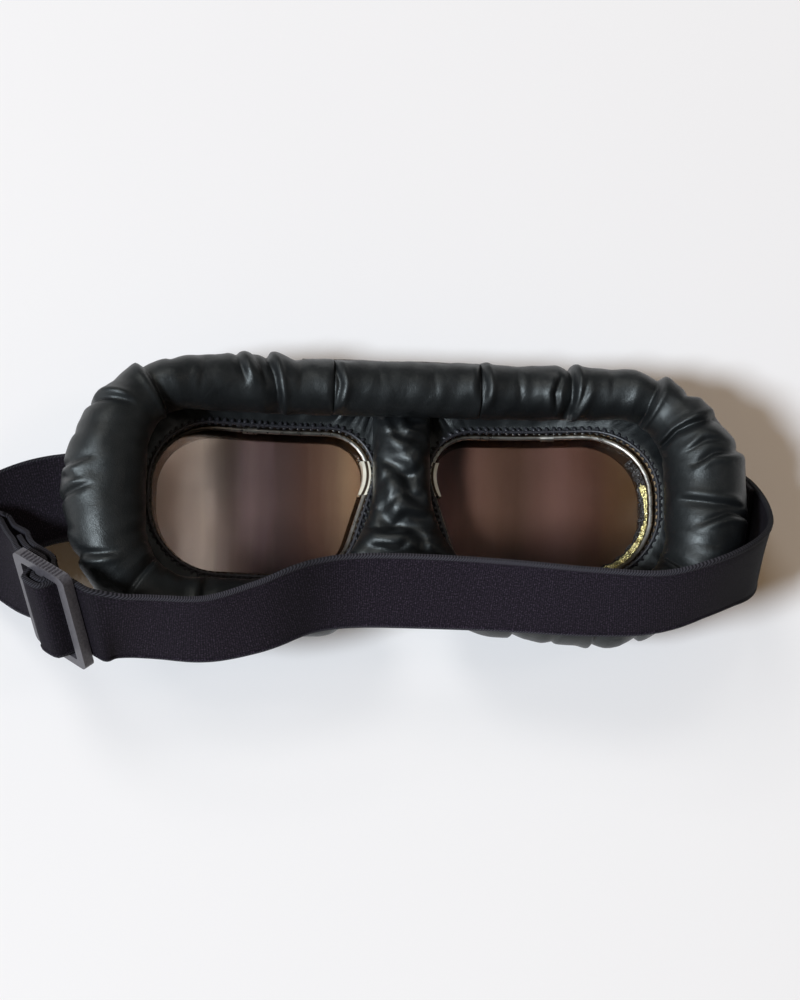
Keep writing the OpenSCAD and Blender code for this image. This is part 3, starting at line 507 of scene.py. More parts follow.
def wrapped(x, h):
    """Height above the table of what stands h mm above the front of the wrapped frame."""
    return WRAP_RADIUS - math.sqrt((WRAP_RADIUS - h) ** 2 - (abs(x) - WRAP_X) ** 2)


def touch_angles(circles):
    angles = []
    for k in range(4):
        a, b = circles[k], circles[(k + 1) % 4]
        gap = math.hypot(b[0] - a[0], b[1] - a[1])
        angle = math.degrees(math.atan2(b[1] - a[1], b[0] - a[0]) + math.acos((a[2] - b[2]) / gap))
        while angles and angle > angles[-1] + 0.001:
            angle -= 360
        angles.append(angle)
    return angles


def rim(circle, angle):
    a = math.radians(angle)
    return np.array([circle[0] + circle[2] * math.cos(a), circle[1] + circle[2] * math.sin(a)])


def outline(circles, finer):
    """Stations [x, y, angle] round four circles, clockwise from the brow corner."""
    angles = touch_angles(circles)
    stations = []
    for k in range(4):
        here, there = circles[k], circles[(k + 1) % 4]
        steps = (2 if k == 1 else 5) * finer
        for i in range(1, steps):
            place = rim(here, angles[k]) * (1 - i / steps) + rim(there, angles[k]) * (i / steps)
            stations.append((*place, angles[k]))
        last = angles[(k + 1) % 4] - (360 if k == 3 else 0)
        for i in range(9 * finer + 1):
            angle = angles[k] + (last - angles[k]) * i / (9 * finer)
            stations.append((*rim(there, angle), angle))
    return np.array(stations)


def pushed(station, d):
    a = math.radians(station[2])
    return np.array([station[0] + d * math.cos(a), station[1] + d * math.sin(a)])


def eased(t):
    t = min(1.0, max(0.0, t))
    return t * t * (3 - 2 * t)


print("eye opening:", len(outline(EYE_CIRCLES, 1)), "stations")

# %% The padded roll's middle line, size and height
ROLL_ANGLES = touch_angles(ROLL_CIRCLES)
ROLL_END = -150
BROW_D, TEMPLE_D, CHEEK_D, NOSE_D = 16.4, 23.4, 17.8, 11
BRIDGE_END = 21.3


def roll_radius(angle):
    if angle > 0:
        return (TEMPLE_D + (BROW_D - TEMPLE_D) * math.sin(math.radians(min(angle, 90))) ** 2) / 2
    if angle > -90:
        return (TEMPLE_D + (CHEEK_D - TEMPLE_D) * math.sin(math.radians(angle)) ** 2) / 2
    return (CHEEK_D + (NOSE_D - CHEEK_D) * min(1, (-90 - angle) / (-90 - ROLL_END))) / 2


def roll_height(x, angle):
    return (24.5 + 0.55 * wrapped(x, 0) + 2 * min(1, max(0, -angle / 90))
            - 6.5 * eased((-90 - angle) / (-90 - ROLL_END)))


def roll_runs():
    runs = []
    for k in range(3):
        a, b = rim(ROLL_CIRCLES[k], ROLL_ANGLES[k]), rim(ROLL_CIRCLES[k + 1], ROLL_ANGLES[k])
        if k == 0:
            a = a + (b - a) * (BRIDGE_END - a[0]) / (b[0] - a[0])
        runs.append(("line", a, b, ROLL_ANGLES[k], np.linalg.norm(b - a)))
        last = ROLL_ANGLES[k + 1] if k < 2 else ROLL_END
        length = ROLL_CIRCLES[k + 1][2] * math.radians(ROLL_ANGLES[k] - last)
        runs.append(("arc", ROLL_CIRCLES[k + 1], None, ROLL_ANGLES[k], length))
    return runs


ROLL_RUNS = roll_runs()
ROLL_LENGTH = sum(run[4] for run in ROLL_RUNS)


def along_roll(s):
    """The middle line's point s mm from the bridge: x, y and the angle of its outward side."""
    for k, (kind, a, b, angle, length) in enumerate(ROLL_RUNS):
        if s <= length or k == len(ROLL_RUNS) - 1:
            break
        s -= length
    if kind == "line":
        return (*(a + (b - a) * s / length), angle)
    turned = angle - math.degrees(s / a[2])
    return (*rim(a, turned), turned)


print("each roll is", round(ROLL_LENGTH, 1), "mm long")


# %% [markdown]
# ## The padded rolls
# Each roll is a tube of thin leather drawn round a foam core. Where the leather is gathered, it
# is tucked under itself: a narrow valley with a ridge along one side. Between the tucks it is
# pulled nearly straight, so the outline is a row of flats and hooks. The tucks are set one by
# one, each as a line along and round the tube.

# %% How far the left and right roll reach outwards, as [mm along the roll, mm from its middle]
LEFT_REACH = [
    (0, 8), (6, 8), (11, 7.4), (15.6, 9), (19.3, 9.3), (23, 8.8), (29, 8.6), (34, 7.7),
    (40, 7.3), (45.4, 6.4), (49, 7.4), (51.7, 8.4), (55, 7.7), (59.3, 7), (64, 7.5), (67.6, 8.8),
    (70, 8.7), (73.6, 9.3), (77.3, 10.5), (81, 11.3), (88, 11.8), (92, 11), (96.5, 9.9),
    (100, 9.5), (103, 8.6), (108, 8.1), (114, 8.2), (122, 8.4), (135, 8), (150, 7.6), (187, 6.2),
]
RIGHT_REACH = [
    (0, 8), (5, 7.7), (13, 7.4), (25, 8), (30, 7.2), (38, 6.6), (48, 6.7), (50, 7.4), (54, 6.2),
    (58.2, 5.2), (59.7, 6.4), (63, 6.9), (68, 7.8), (73, 10.9), (76, 11), (80, 11.7), (92, 11.9),
    (100, 10.4), (106, 8.4), (112, 6.6), (124, 6.3), (130, 8.2), (136, 9.4), (141, 9.6),
    (146, 8.8), (156, 7.8), (163, 6.6), (187, 6),
]

# Tucks: the valley's depth, the ridge's height, how far the leather slopes into the valley and
# the side that the ridge is on, then a line of (mm along the roll, degrees round it). 0 degrees is
# the outline, 90 the top and 180 the side at the eye.
LEFT_TUCKS = [
    (0.7, 0.2, 3, 1, (-0.2, 60), (-0.2, 150)), (0.35, 0.1, 3, 1, (9, 30), (9.8, 110)),
    (2.6, 0.9, 4.5, -1, (19.6, -30), (18.7, 40), (17, 80), (16, 120), (15.2, 185)),
    (1.1, 0.5, 2, 1, (23.4, 10), (21.6, 60), (19.4, 100)),
    (1.2, 0.9, 2.5, -1, (28.6, -20), (27.4, 45), (25.2, 95)),
    (0.35, 0.1, 4, 1, (36.5, 40), (38, 120)), (0.8, 0.2, 4, 1, (45.8, -30), (45, 40)),
    (3.1, 0.5, 7, 1, (51.9, -30), (51.7, 60), (51.4, 120), (51, 190)),
    (1.5, 1.1, 2.2, -1, (66.9, -30), (65.8, 30), (63, 75), (61, 100)),
    (0.5, 0.3, 2, 1, (73.5, -20), (73, 40)), (1.2, 0.7, 2, 1, (80.9, -20), (80.9, 35), (79.6, 70)),
    (0.7, 0.4, 1.4, -1, (84.4, 20), (85.4, 62)),
    (1.4, 0.8, 2, -1, (90.8, -20), (89.7, 20), (87.4, 70)),
    (0.7, 0.3, 2, 1, (96.6, -10), (98.2, 45)),
    (1.3, 1.1, 1.8, 1, (103.4, -20), (103.6, 50), (106.6, 95)),
    (1.6, 0.3, 4, 1, (118, -40), (117, 60), (116, 160)),
    (1.8, 0.5, 4, -1, (135, -60), (136, 60), (137, 160)),
    (0.9, 0.3, 3, 1, (150, -60), (151, 60), (151, 150)),
    (1.6, 0.4, 4, -1, (160, -60), (159, 60), (158, 150)), (1, 0.3, 3, 1, (174, -60), (173, 100)),
]
RIGHT_TUCKS = [
    (1.1, 0.9, 3, 1, (-0.1, 20), (0.1, 50), (0.8, 95), (0.2, 130)),
    (0.5, 0.2, 2, 1, (10.4, 55), (11.2, 120)),
    (2.6, 0.9, 3.5, 1, (25.7, -30), (26.4, 70), (26.2, 120), (25, 185)),
    (1.2, 0.8, 1.6, -1, (22.8, 70), (21, 105), (21.8, 140)),
    (0.9, 0.5, 1.3, 1, (29.6, 95), (28, 128), (26.6, 160)),
    (0.35, 0.1, 4, -1, (38, 40), (37, 110)),
    (3, 0.7, 6, 1, (49.9, -30), (49.8, 60), (49.8, 110), (50.4, 190)),
    (1.4, 0.6, 2.4, 1, (58.6, -30), (58.9, 25), (56.6, 70)),
    (2.1, 0.9, 3, -1, (65.8, 45), (65.1, 74), (63.6, 107), (62.9, 131), (64.8, 175)),
    (2, 0.9, 2.6, 1, (73.6, -30), (73.7, 20), (74.4, 63), (74.7, 93), (77.8, 118)),
    (0.9, 0.6, 1.4, -1, (71.8, 66), (70.2, 98), (72.2, 126)),
    (1.7, 0.7, 2.6, -1, (89.6, 50), (88.8, 96), (87.4, 140)),
    (1.5, 0.8, 2, 1, (92.3, 15), (91.6, 72), (94.6, 110)),
    (0.4, 0.2, 3, 1, (100.5, 40), (101.5, 110)),
    (1.6, 0.4, 4, 1, (112, -40), (112, 90), (111, 160)),
    (1.9, 0.5, 4, -1, (130, -60), (130, 60), (131, 160)),
    (2.2, 0.7, 4, 1, (142, -60), (141, 60), (140, 160)), (0.9, 0.3, 3, -1, (153, -60), (152, 60)),
    (1.6, 0.4, 4, 1, (164, -60), (164, 60), (163, 150)), (1, 0.3, 3, -1, (177, -60), (176, 100)),
]


# %% The leather's height over the tube at every place
def tucked(s, a, tucks):
    """Height of the leather over the plain tube in mm, at s (mm) along it and the angles a."""
    height = (0.10 * np.sin(s * 0.42 + np.sin(np.radians(a * 2)) * 1.5)
              + 0.07 * np.sin(s * 0.9 + np.radians(a * 3)))
    for depth, ridge, slope, side, *line in tucks:
        places, turns = zip(*line)
        here = np.interp(a, turns, places)
        start, end = turns[0], turns[-1]
        fade = np.clip((a - start + 16) / 30, 0, 1) * np.clip((end + 16 - a) / 40, 0, 1)
        fade = fade * fade * (3 - 2 * fade)
        off = (s - here) * side
        sloping = np.clip(1 + off / slope, 0, 1) ** 1.4
        steep = np.clip(1 - off / 1.1, 0, 1) ** 1.3
        valley = np.where(off < 0, sloping, steep)
        crest = np.exp(-((off - 1.9) / 1.2) ** 2) + 0.5 * np.exp(-((off - 3.6) / 2.4) ** 2)
        hidden = 0.25 + 0.75 * np.clip((a - 8) / 40, 0, 1)
        height = height + fade * (ridge * hidden * crest - 0.75 * depth * valley)
    return height


# The points round a ring, and how much of the outline's change each of them takes
ROLL_SIDES, ROLL_STEP = 88, 0.42
TURNS = np.arange(ROLL_SIDES) * 360 / ROLL_SIDES
TURNS = np.where(TURNS > 210, TURNS - 360, TURNS)
FLAT_WAY, UP_WAY = np.cos(np.radians(TURNS)), np.sin(np.radians(TURNS))
OUTWARD = np.clip(FLAT_WAY, 0, 1) ** 1.6
BRIDGE_RADIUS = BROW_D / 2 - 0.3 * OUTWARD


def narrowed(from_end):
    """The leather is drawn in a little over the last part of a millimetre of a roll."""
    return 0.98 + 0.02 * math.sqrt(min(1, (from_end + 0.05) / 0.4))


def roll_rings(reach, tucks):
    count = round(ROLL_LENGTH / ROLL_STEP)
    rings = []
    for i in range(count + 1):
        s = ROLL_LENGTH * i / count
        x, y, angle = along_roll(s)
        base = roll_radius(angle)
        joined = eased(s / 4)
        radius = base + (np.interp(s, *zip(*reach)) - base) * OUTWARD
        radius = radius * joined + BRIDGE_RADIUS * (1 - joined) + tucked(s, TURNS, tucks)
        closing = narrowed(s)
        closing *= math.sqrt(min(1, ((ROLL_LENGTH - s) * 0.55 + 0.9) / 4.5))
        radius = np.maximum(radius, base * 0.5) * closing
        way = math.radians(angle)
        flat, rise = radius * FLAT_WAY, radius * UP_WAY
        rings.append(np.stack([x + flat * math.cos(way), y + flat * math.sin(way),
                               roll_height(x, angle) + rise], 1))
    return rings


def mirrored(rings):
    return [[(-p[0], p[1], p[2]) for p in ring] for ring in rings]


def roll_piece(side, reach, tucks):
    rings = roll_rings(reach, tucks)
    if side == "left":
        rings = mirrored(rings)
    piece = dressed(soft_skin(f"leather_roll_{side}", rings, caps=True), black_leather)
    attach(piece, f"{side}_half")
    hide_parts(f"padded_roll_{side}", f"roll_foam_{side}")
    return piece


side_rolls = [roll_piece("left", LEFT_REACH, LEFT_TUCKS),
              roll_piece("right", RIGHT_REACH, RIGHT_TUCKS)]
print("rolls:", [len(piece.data.polygons) for piece in side_rolls], "faces")


# %% [markdown]
# ## The roll over the bridge
# A smooth short roll joins the two, with one tuck near each end. A thin brown piping shows
# along its upper side.

# %% Bridge roll
BRIDGE_Y, BRIDGE_HALF, BRIDGE_Z = 31.8, 21.12, 24.5
BRIDGE_TUCKS = [
    (1.2, 0.8, 2.6, 1, (-21.2, 40), (-20.6, 70), (-19.6, 95), (-21, 150)),
    (1, 0.4, 3, -1, (21.3, 40), (21.1, 70), (20.6, 95), (21.2, 120)),
    (0.2, 0.1, 5, 1, (-9, 30), (-8, 100)),
    (0.2, 0.1, 5, 1, (7, 40), (8, 120)),
]


def bridge_rings():
    count = round(2 * BRIDGE_HALF / ROLL_STEP)
    rings = []
    for i in range(count + 1):
        x = 2 * BRIDGE_HALF * i / count - BRIDGE_HALF
        height = BRIDGE_Z + 0.55 * wrapped(max(abs(x), WRAP_X), 0)
        radius = BRIDGE_RADIUS + tucked(x, TURNS, BRIDGE_TUCKS)
        radius = radius * narrowed(BRIDGE_HALF - abs(x))
        rings.append(np.stack([np.full(ROLL_SIDES, x), BRIDGE_Y + radius * FLAT_WAY,
                               height + radius * UP_WAY], 1))
    return rings


def bend_at_nose(piece):
    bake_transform(piece)


bridge_roll = dressed(soft_skin("leather_roll_bridge", bridge_rings(), caps=True), black_leather)
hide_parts("bridge_roll", "bridge_foam")
bend_at_nose(bridge_roll)


# %% Piping along the bridge roll
def unit(v):
    return v / np.linalg.norm(v)


def tube_rings(path, radius, sides=10):
    path = np.array(path, dtype=float)
    turns = [2 * math.pi * j / sides for j in range(sides)]
    rings = []
    for i in range(len(path)):
        way = unit(path[min(i + 1, len(path) - 1)] - path[max(i - 1, 0)])
        side = unit(np.cross(way, (0, 0, 1)))
        over = np.cross(side, way)
        rings.append([path[i] + radius * (math.cos(a) * side + math.sin(a) * over) for a in turns])
    return rings


piping_line = [(x, BRIDGE_Y + 8.0 + 0.1 * math.sin(x * 0.3), 23.6)
               for x in np.linspace(-30, 18, 60)]
piping = dressed(soft_skin("brow_piping", tube_rings(piping_line, 0.45), caps=True), brown_piping)
bend_at_nose(piping)
print("bridge roll and piping done")


# %% [markdown]
# ## The mask leather
# A sheet of leather runs from the stitched edge of each eye opening, over the rear edge of the
# frame, to the foot of the roll. It puckers where the thread pulls it, and it sits a little askew
# on the metal, so the wire shows on one side of each opening.

# %% Mask leather
LEATHER_TOP, LEATHER_UNDER, LEATHER_HALF, LEATHER_GAP = 10.8, 9.2, 0.8, 0.5
# Where the leather rises to the roll's foot, and back to the bridge roll, in degrees
RISE_END, BRIDGE_RISE = ROLL_END - 40, -240
# Width of the edge that lies on the frame, and its share of the columns
EDGE_WIDTH, EDGE_SHARE = 2.3, 0.3


def leather_rise(x, angle):
    at = max(angle, ROLL_END)
    on_roll = roll_height(x, at) - roll_radius(at) - LEATHER_GAP
    on_brow = roll_height(x, 90) - BROW_D / 2 - LEATHER_GAP
    low = LEATHER_TOP + LEATHER_HALF
    if angle > ROLL_END:
        return on_roll
    if angle > RISE_END:
        return on_roll + (low - on_roll) * eased((ROLL_END - angle) / 40)
    if angle > BRIDGE_RISE:
        return low
    return low + (on_brow - low) * eased((BRIDGE_RISE - angle) / 30)


def edge_shift(angle, side):
    """How far the leather's edge lies outside the eye opening's outline, in mm."""
    turn = math.radians(angle)
    if side == "left":
        return 0.15 - 0.5 * math.cos(turn + math.radians(30))
    return 0.3 + 0.35 * math.cos(turn - math.radians(25))


def mask_columns(side, finer=6, rows=12):
    inner, outer = outline(EYE_CIRCLES, finer), outline(ROLL_CIRCLES, finer)
    columns = []
    for k, (a, c) in enumerate(zip(inner, outer)):
        edge, over = pushed(a, edge_shift(a[2], side)), pushed(a, EDGE_WIDTH)
        foot = leather_rise(c[0], c[2])
        pucker = 0.16 * math.sin(k * 0.55) + 0.10 * math.sin(k * 1.31 + 1)
        column = []
        for i in range(rows):
            t = i / (rows - 1)
            if t < EDGE_SHARE:
                u = t / EDGE_SHARE
                x, y = edge + (over - edge) * u
                z = wrapped(x, LEATHER_TOP) + pucker * (1 - u) * 0.6
            else:
                u = (t - EDGE_SHARE) / (1 - EDGE_SHARE)
                x, y = over + (c[:2] - over) * u
                z0 = wrapped(over[0], LEATHER_TOP)
                z = z0 + (foot - z0) * u + pucker * math.sin(math.pi * u) * 1.6
            column.append((x, y, z - LEATHER_HALF))
        columns.append(column)
    return columns


def mask_piece(side):
    columns = mask_columns(side)
    if side == "left":
        columns = mirrored(columns)
    piece = soft_skin(f"leather_mask_{side}", columns, round_rings=False, round_rows=True)
    thicken(piece, 1.2)
    bpy.ops.object.modifier_add(type="SUBSURF")
    dressed(apply_modifiers(piece), black_leather)
    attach(piece, f"{side}_half")
    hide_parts(f"mask_leather_{side}")
    return piece


masks = [mask_piece(side) for side in SIDES]
print("mask leather:", [len(piece.data.polygons) for piece in masks])


# %% [markdown]
# ## The whip stitches
# Black thread is whipped over a cord on the leather's edge, a stitch every two millimetres. The
# stitches lie so close that they look like a row of beads. One stitch is modelled and copied.

# %% Stitches round an eye opening
def one_stitch():
    bpy.ops.mesh.primitive_torus_add(
        major_radius=0.78 * MM, minor_radius=0.58 * MM, major_segments=14, minor_segments=8,
        rotation=(math.pi / 2, 0, 0),
    )
    return settle(bpy.context.object)


def stitch_places(pitch=2.0):
    stations = outline(EYE_CIRCLES, 12)
    places, carried = [], 0.0
    for a, b in zip(stations, np.roll(stations, -1, axis=0)):
        carried += math.hypot(b[0] - a[0], b[1] - a[1])
        if carried >= pitch:
            carried -= pitch
            places.append(a)
    return places


def stitching_piece(side):
    sign = -1 if side == "left" else 1
    pattern = one_stitch()
    stitches = []
    rng = random.Random(7 if side == "left" else 11)
    for station in stitch_places():
        stitch = pattern.copy()
        stitch.data = pattern.data.copy()
        bpy.context.scene.collection.objects.link(stitch)
        x, y = pushed(station, edge_shift(station[2], side) + 0.6 + rng.uniform(-0.08, 0.08))
        turn = math.radians(station[2] + 24 + rng.uniform(-8, 8))
        stitch.location = (sign * x * MM, y * MM, (wrapped(x, LEATHER_UNDER) + 0.95) * MM)
        stitch.rotation_euler = (0, 0, math.pi - turn if side == "left" else turn)
        stitches.append(stitch)
    bpy.data.objects.remove(pattern)
    cord_line = [pushed(st, edge_shift(st[2], side) + 0.15) for st in outline(EYE_CIRCLES, 4)]
    line = [(sign * x, y, wrapped(x, LEATHER_TOP) + 0.25) for x, y in cord_line]
    cord = soft_skin(f"edge_cord_{side}", tube_rings(line, 0.5, 8), round_rows=True)
    piece = join(stitches + [cord], f"whip_stitches_{side}")
    dressed(settle(piece), black_thread)
    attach(piece, f"{side}_half")
    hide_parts(f"edge_stitching_{side}")
    print(side, "opening:", len(stitches), "stitches")


for side in SIDES:
    stitching_piece(side)


# %% [markdown]
# ## The nose pad
# A saddle of soft leather between the eye openings. It is pressed into a few soft folds that run
# across it, and it goes in under the bridge roll.

# %% Nose pad, with its waves as [size in mm, turn, share, seed]
FOLD_WAVES = [(15, 1.15, 1.0, 0.9), (10, 0.75, 0.8, 2.1), (6.5, 1.9, 0.35, 4.0)]


def soft_folds(x, y):
    """Folds from a few turned waves that bend each other, roughly from -1 to 1."""
    total = 0
    for size, turn, share, seed in FOLD_WAVES:
        u = x * math.cos(turn) + y * math.sin(turn)
        v = y * math.cos(turn) - x * math.sin(turn)
        bent = 1.1 * math.sin(2 * math.pi * v / (size * 1.7) + seed)
        wave = math.sin(2 * math.pi * u / size + bent + seed)
        total += share * (wave - 0.5 * wave * wave)
    return total / 1.8


def nose_pad_piece(rows=120, crown=60):
    top_y, length = 27.4, 44.7
    base = LEATHER_TOP + LEATHER_HALF + 1.6
    rings = []
    for i in range(rows + 1):
        t = i / rows
        y = top_y - length * t
        from_end = min(t, 1 - t) * length
        low = max(0, 6 - y)
        half = (8.3 + 0.016 * low * low) * (0.92 + 0.08 * min(1, from_end))
        lift = base + 0.35 * max(0, -8 - y)
        crown_h = 8.2 * (0.3 + 0.7 * math.sqrt(min(1, from_end / 7)))
        ring = [(half, y, lift - 0.4)]
        for j in range(crown + 1):
            a = math.pi * j / crown
            x = half * math.cos(a)
            fold = 1.5 * soft_folds(x, y) * math.sin(a) ** 0.6 * min(1, from_end / 4)
            rise = 1.1 + crown_h * math.sin(a) ** 0.85 + fold
            ring.append((x, y, lift + max(0.2, rise)))
        ring.append((-half, y, lift - 0.4))
        rings.append(ring)
    return dressed(soft_skin("leather_nose_pad", rings, caps=True), crinkled_leather)


nose_pad = nose_pad_piece()
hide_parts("nose_pad")
bend_at_nose(nose_pad)


# %% [markdown]
# ## The head strap
# The strap is one length of flat elastic, 25 mm wide. It is cut flat as a grid, and then each row
# of the grid is laid on the route: round the right loop, over the cheeks, up through the slider,
# round the left loop and back to the slider's middle bar, where it is sewn.

# %% The strap's route
LOOP_X, LOOP_Z = 92.5, 14.0
LAYER, TURN_R = 1.95, 2.1
SLIDER_FROM_LOOP, SLIDER_LENGTH, OUTER_STEP = 72, 22.6, 4.2
STRAP_POINTS = np.array([
    [LOOP_X, 0, LOOP_Z - TURN_R, 0], [LOOP_X + 5.6, -0.5, 12.5, 5], [LOOP_X + 9.2, -4.4, 19.5, 21],
    [LOOP_X + 9.8, -11, 30, 35], [LOOP_X + 6.6, -18, 41, 47], [LOOP_X - 0.5, -23.4, 49, 54],
    [LOOP_X - 12.5, -28.9, 54, 56], [LOOP_X - 26.5, -32.7, 53, 55], [48, -32.5, 49.5, 50],
    [26, -30.9, 47, 47], [4, -30.1, 47, 45], [-16, -30.1, 47, 45], [-29, -32.1, 47, 46],
    [-42, -37.3, 46.5, 47], [-56, -40.9, 46, 52], [-LOOP_X + 22.5, -40.6, 46, 55],
    [-LOOP_X + 6.5, -39.6, 46.6, 56], [-LOOP_X - 3, -33.9, 38.9, 57],
    [-LOOP_X - 11.5, -27.5, 29, 52], [-LOOP_X - 20, -21, 19.5, 38],
    [-LOOP_X - 26.5, -13, 14.2, 24], [-LOOP_X - 22, -6.5, 12.6, 11],
    [-LOOP_X - 11, -1.6, 12, 4], [-LOOP_X, 0, LOOP_Z - TURN_R, 0],
])
LAST = len(STRAP_POINTS) - 1


def beyond(end, near):
    """A knot past an end of the route, so that the strap turns squarely round the loop."""
    return np.array([near[0] - 2 * (near[0] - end[0]), *near[1:]])


KNOTS = [beyond(*STRAP_POINTS[:2]), *STRAP_POINTS, beyond(*STRAP_POINTS[:-3:-1])]


def strap_at(u):
    i = max(0, min(LAST - 1, math.floor(u)))
    t = u - i
    a, b, c, d = KNOTS[i:i + 4]
    return 0.5 * (2 * b + (c - a) * t + (2 * a - 5 * b + 4 * c - d) * t * t
                  + (3 * b - a - 3 * c + d) * t ** 3)


CURVE_U = np.arange(LAST * 6 + 1) / 6
CURVE_S = np.concatenate([[0], np.cumsum([
    np.linalg.norm((strap_at(b) - strap_at(a))[:3]) for a, b in zip(CURVE_U, CURVE_U[1:])])])
STRAP_L = float(CURVE_S[-1])
SLIDER_S = STRAP_L - SLIDER_FROM_LOOP


def curve_frame(s):
    held = max(0.0, min(STRAP_L, s))
    v = float(np.interp(held, CURVE_S, CURVE_U))
    p = strap_at(v)
    way = unit((strap_at(v + 0.02) - strap_at(v - 0.02))[:3])
    tilt = math.radians(p[3])
    lean = np.array([0, math.cos(tilt), math.sin(tilt)])
    width = unit(lean - (lean @ way) * way)
    return p[:3] + (s - held) * way, way, width, np.cross(width, way)


SLIDER_FRAME = curve_frame(SLIDER_S)


def strap_frame(s):
    far = eased((abs(s - SLIDER_S) - SLIDER_LENGTH / 2 - 2) / 9)
    c = curve_frame(s)
    way = unit(SLIDER_FRAME[1] * (1 - far) + c[1] * far)
    lean = SLIDER_FRAME[2] * (1 - far) + c[2] * far
    width = unit(lean - (lean @ way) * way)
    straight = SLIDER_FRAME[0] + (s - SLIDER_S) * SLIDER_FRAME[1]
    return straight * (1 - far) + c[0] * far, way, width, np.cross(width, way)


print("middle line of the strap's outer layer:", round(STRAP_L, 1), "mm")

# %% Places of the strip, as mm along the route and mm outside of it
BAR_TOP, BAR_SIDE, SLOT_END = 5.1, 2.55, 8.1
TAIL_S = SLOT_END + 5 + 20 * 0.4


def half_turn(s, sense, first, last):
    turned = []
    for i in range(9):
        a = math.radians(first + (last - first) * i / 8)
        turned.append((s + sense * TURN_R * math.sin(a), TURN_R * math.cos(a) - TURN_R))
    return turned


UP_TO_BAR = [
    (-SLOT_END - 4, 0), (-SLOT_END + 0.7, 0), (-SLOT_END + 1.4, 0.5),
    (-BAR_SIDE - 2.5, BAR_TOP * 0.5), (-BAR_SIDE - 1.9, BAR_TOP * 0.9),
    (-BAR_SIDE - 0.9, BAR_TOP + LAYER * 0.8), (-BAR_SIDE + 0.6, BAR_TOP + LAYER),
]
OVER_BAR = (UP_TO_BAR + [(0, BAR_TOP + LAYER + 0.1)]
            + [(-s, height) for s, height in reversed(UP_TO_BAR)])
BAR_HOLD = [
    (SLOT_END + 5, -2 * LAYER), (SLOT_END - 1, -2 * LAYER), (BAR_SIDE + 1.6, -LAYER * 1.85),
    (BAR_SIDE, -LAYER * 1.5), (BAR_SIDE - 1.55, -LAYER * 0.8), (-0.6, -0.7), (-BAR_SIDE + 0.7, 0),
    (-BAR_SIDE, 1.2), (-BAR_SIDE, BAR_TOP - 1.1), (-BAR_SIDE + 0.5, BAR_TOP - 0.3),
    (-BAR_SIDE + 1.2, BAR_TOP), (BAR_SIDE - 1.2, BAR_TOP), (BAR_SIDE - 0.5, BAR_TOP - 0.3),
    (BAR_SIDE, BAR_TOP - 1.1), (BAR_SIDE, 2.2), (BAR_SIDE + 0.2, 1), (BAR_SIDE + 1.05, -0.6),
    (BAR_SIDE + 2.5, -LAYER * 0.82), (SLOT_END - 1, -LAYER), (SLOT_END + 5, -LAYER),
    (TAIL_S, -LAYER),
]


def spaced(a, b, step):
    n = math.ceil((b - a) / step)
    return [a + (b - a) * i / n for i in range(n + 1)]


def return_depth(s):
    sag = math.sin(math.pi * (s - SLIDER_S - SLOT_END) / (STRAP_L - SLIDER_S - SLOT_END))
    return -LAYER - 1.1 * sag - LAYER * (1 - eased((s - SLIDER_S - TAIL_S - 1) / 8))


def at_slider(steps):
    return [(SLIDER_S + s, height) for s, height in steps]


def strip_places():
    back = [STRAP_L - 7 + (SLIDER_S + SLOT_END + 9 - STRAP_L + 7) * i / 11 for i in range(12)]
    return ([(20, -LAYER), (12, -LAYER), (7, -LAYER), (3, -LAYER * 1.4), (1, -2 * TURN_R + 0.1)]
            + half_turn(0, -1, 180, 0)
            + [(s, 0) for s in spaced(2, SLIDER_S - SLOT_END - 8, OUTER_STEP)]
            + at_slider(OVER_BAR)
            + [(s, 0) for s in spaced(SLIDER_S + SLOT_END + 8, STRAP_L - 2, OUTER_STEP)]
            + half_turn(STRAP_L, 1, 0, 180)
            + [(STRAP_L - 1, -2 * TURN_R + 0.1), (STRAP_L - 3.5, -LAYER * 1.4)]
            + [(s, return_depth(s)) for s in back]
            + at_slider(BAR_HOLD))


STRIP = strip_places()
FRAMES = [strap_frame(s) for s, _ in STRIP]
MIDDLES = np.array([place + height * out
                    for (place, _, _, out), (_, height) in zip(FRAMES, STRIP)])
WIDTHS = np.array([width for _, _, width, _ in FRAMES])
STRIP_AT = np.concatenate([[0], np.cumsum(np.linalg.norm(np.diff(MIDDLES, axis=0), axis=1))])
STRIP_L = float(STRIP_AT[-1])
print("the strip is", round(STRIP_L, 1), "mm long when flat")


# %% A smooth curve through the strip's stations
def smooth_row(values, at):
    """A curve through values at the strip's stations, evaluated at the length at."""
    i = int(np.clip(np.searchsorted(STRIP_AT, at, side="right") - 1, 0, len(STRIP_AT) - 2))
    p = [values[np.clip(i + k, 0, len(values) - 1)] for k in (-1, 0, 1, 2)]
    s = [STRIP_AT[np.clip(i + k, 0, len(values) - 1)] for k in (-1, 0, 1, 2)]
    gap = s[2] - s[1]
    t = (at - s[1]) / gap
    m1 = (p[2] - p[0]) / max(s[2] - s[0], 1e-6) * gap
    m2 = (p[3] - p[1]) / max(s[3] - s[1], 1e-6) * gap
    return ((2 * t ** 3 - 3 * t ** 2 + 1) * p[1] + (t ** 3 - 2 * t ** 2 + t) * m1
            + (-2 * t ** 3 + 3 * t ** 2) * p[2] + (t ** 3 - t ** 2) * m2)


# The strap's cross-section: [mm from the middle, mm of thickness]. A thicker cord runs along
# both edges, with a groove beside it.
HALF_SECTION = [(2.6, 1.3), (5.3, 1.3), (8, 1.3), (10.6, 1.25), (11.05, 1.0), (11.5, 1.6),
                (12.1, 1.55), (12.5, 1.0)]
SECTION = [(-across, t) for across, t in reversed(HALF_SECTION)] + [(0, 1.3)] + HALF_SECTION


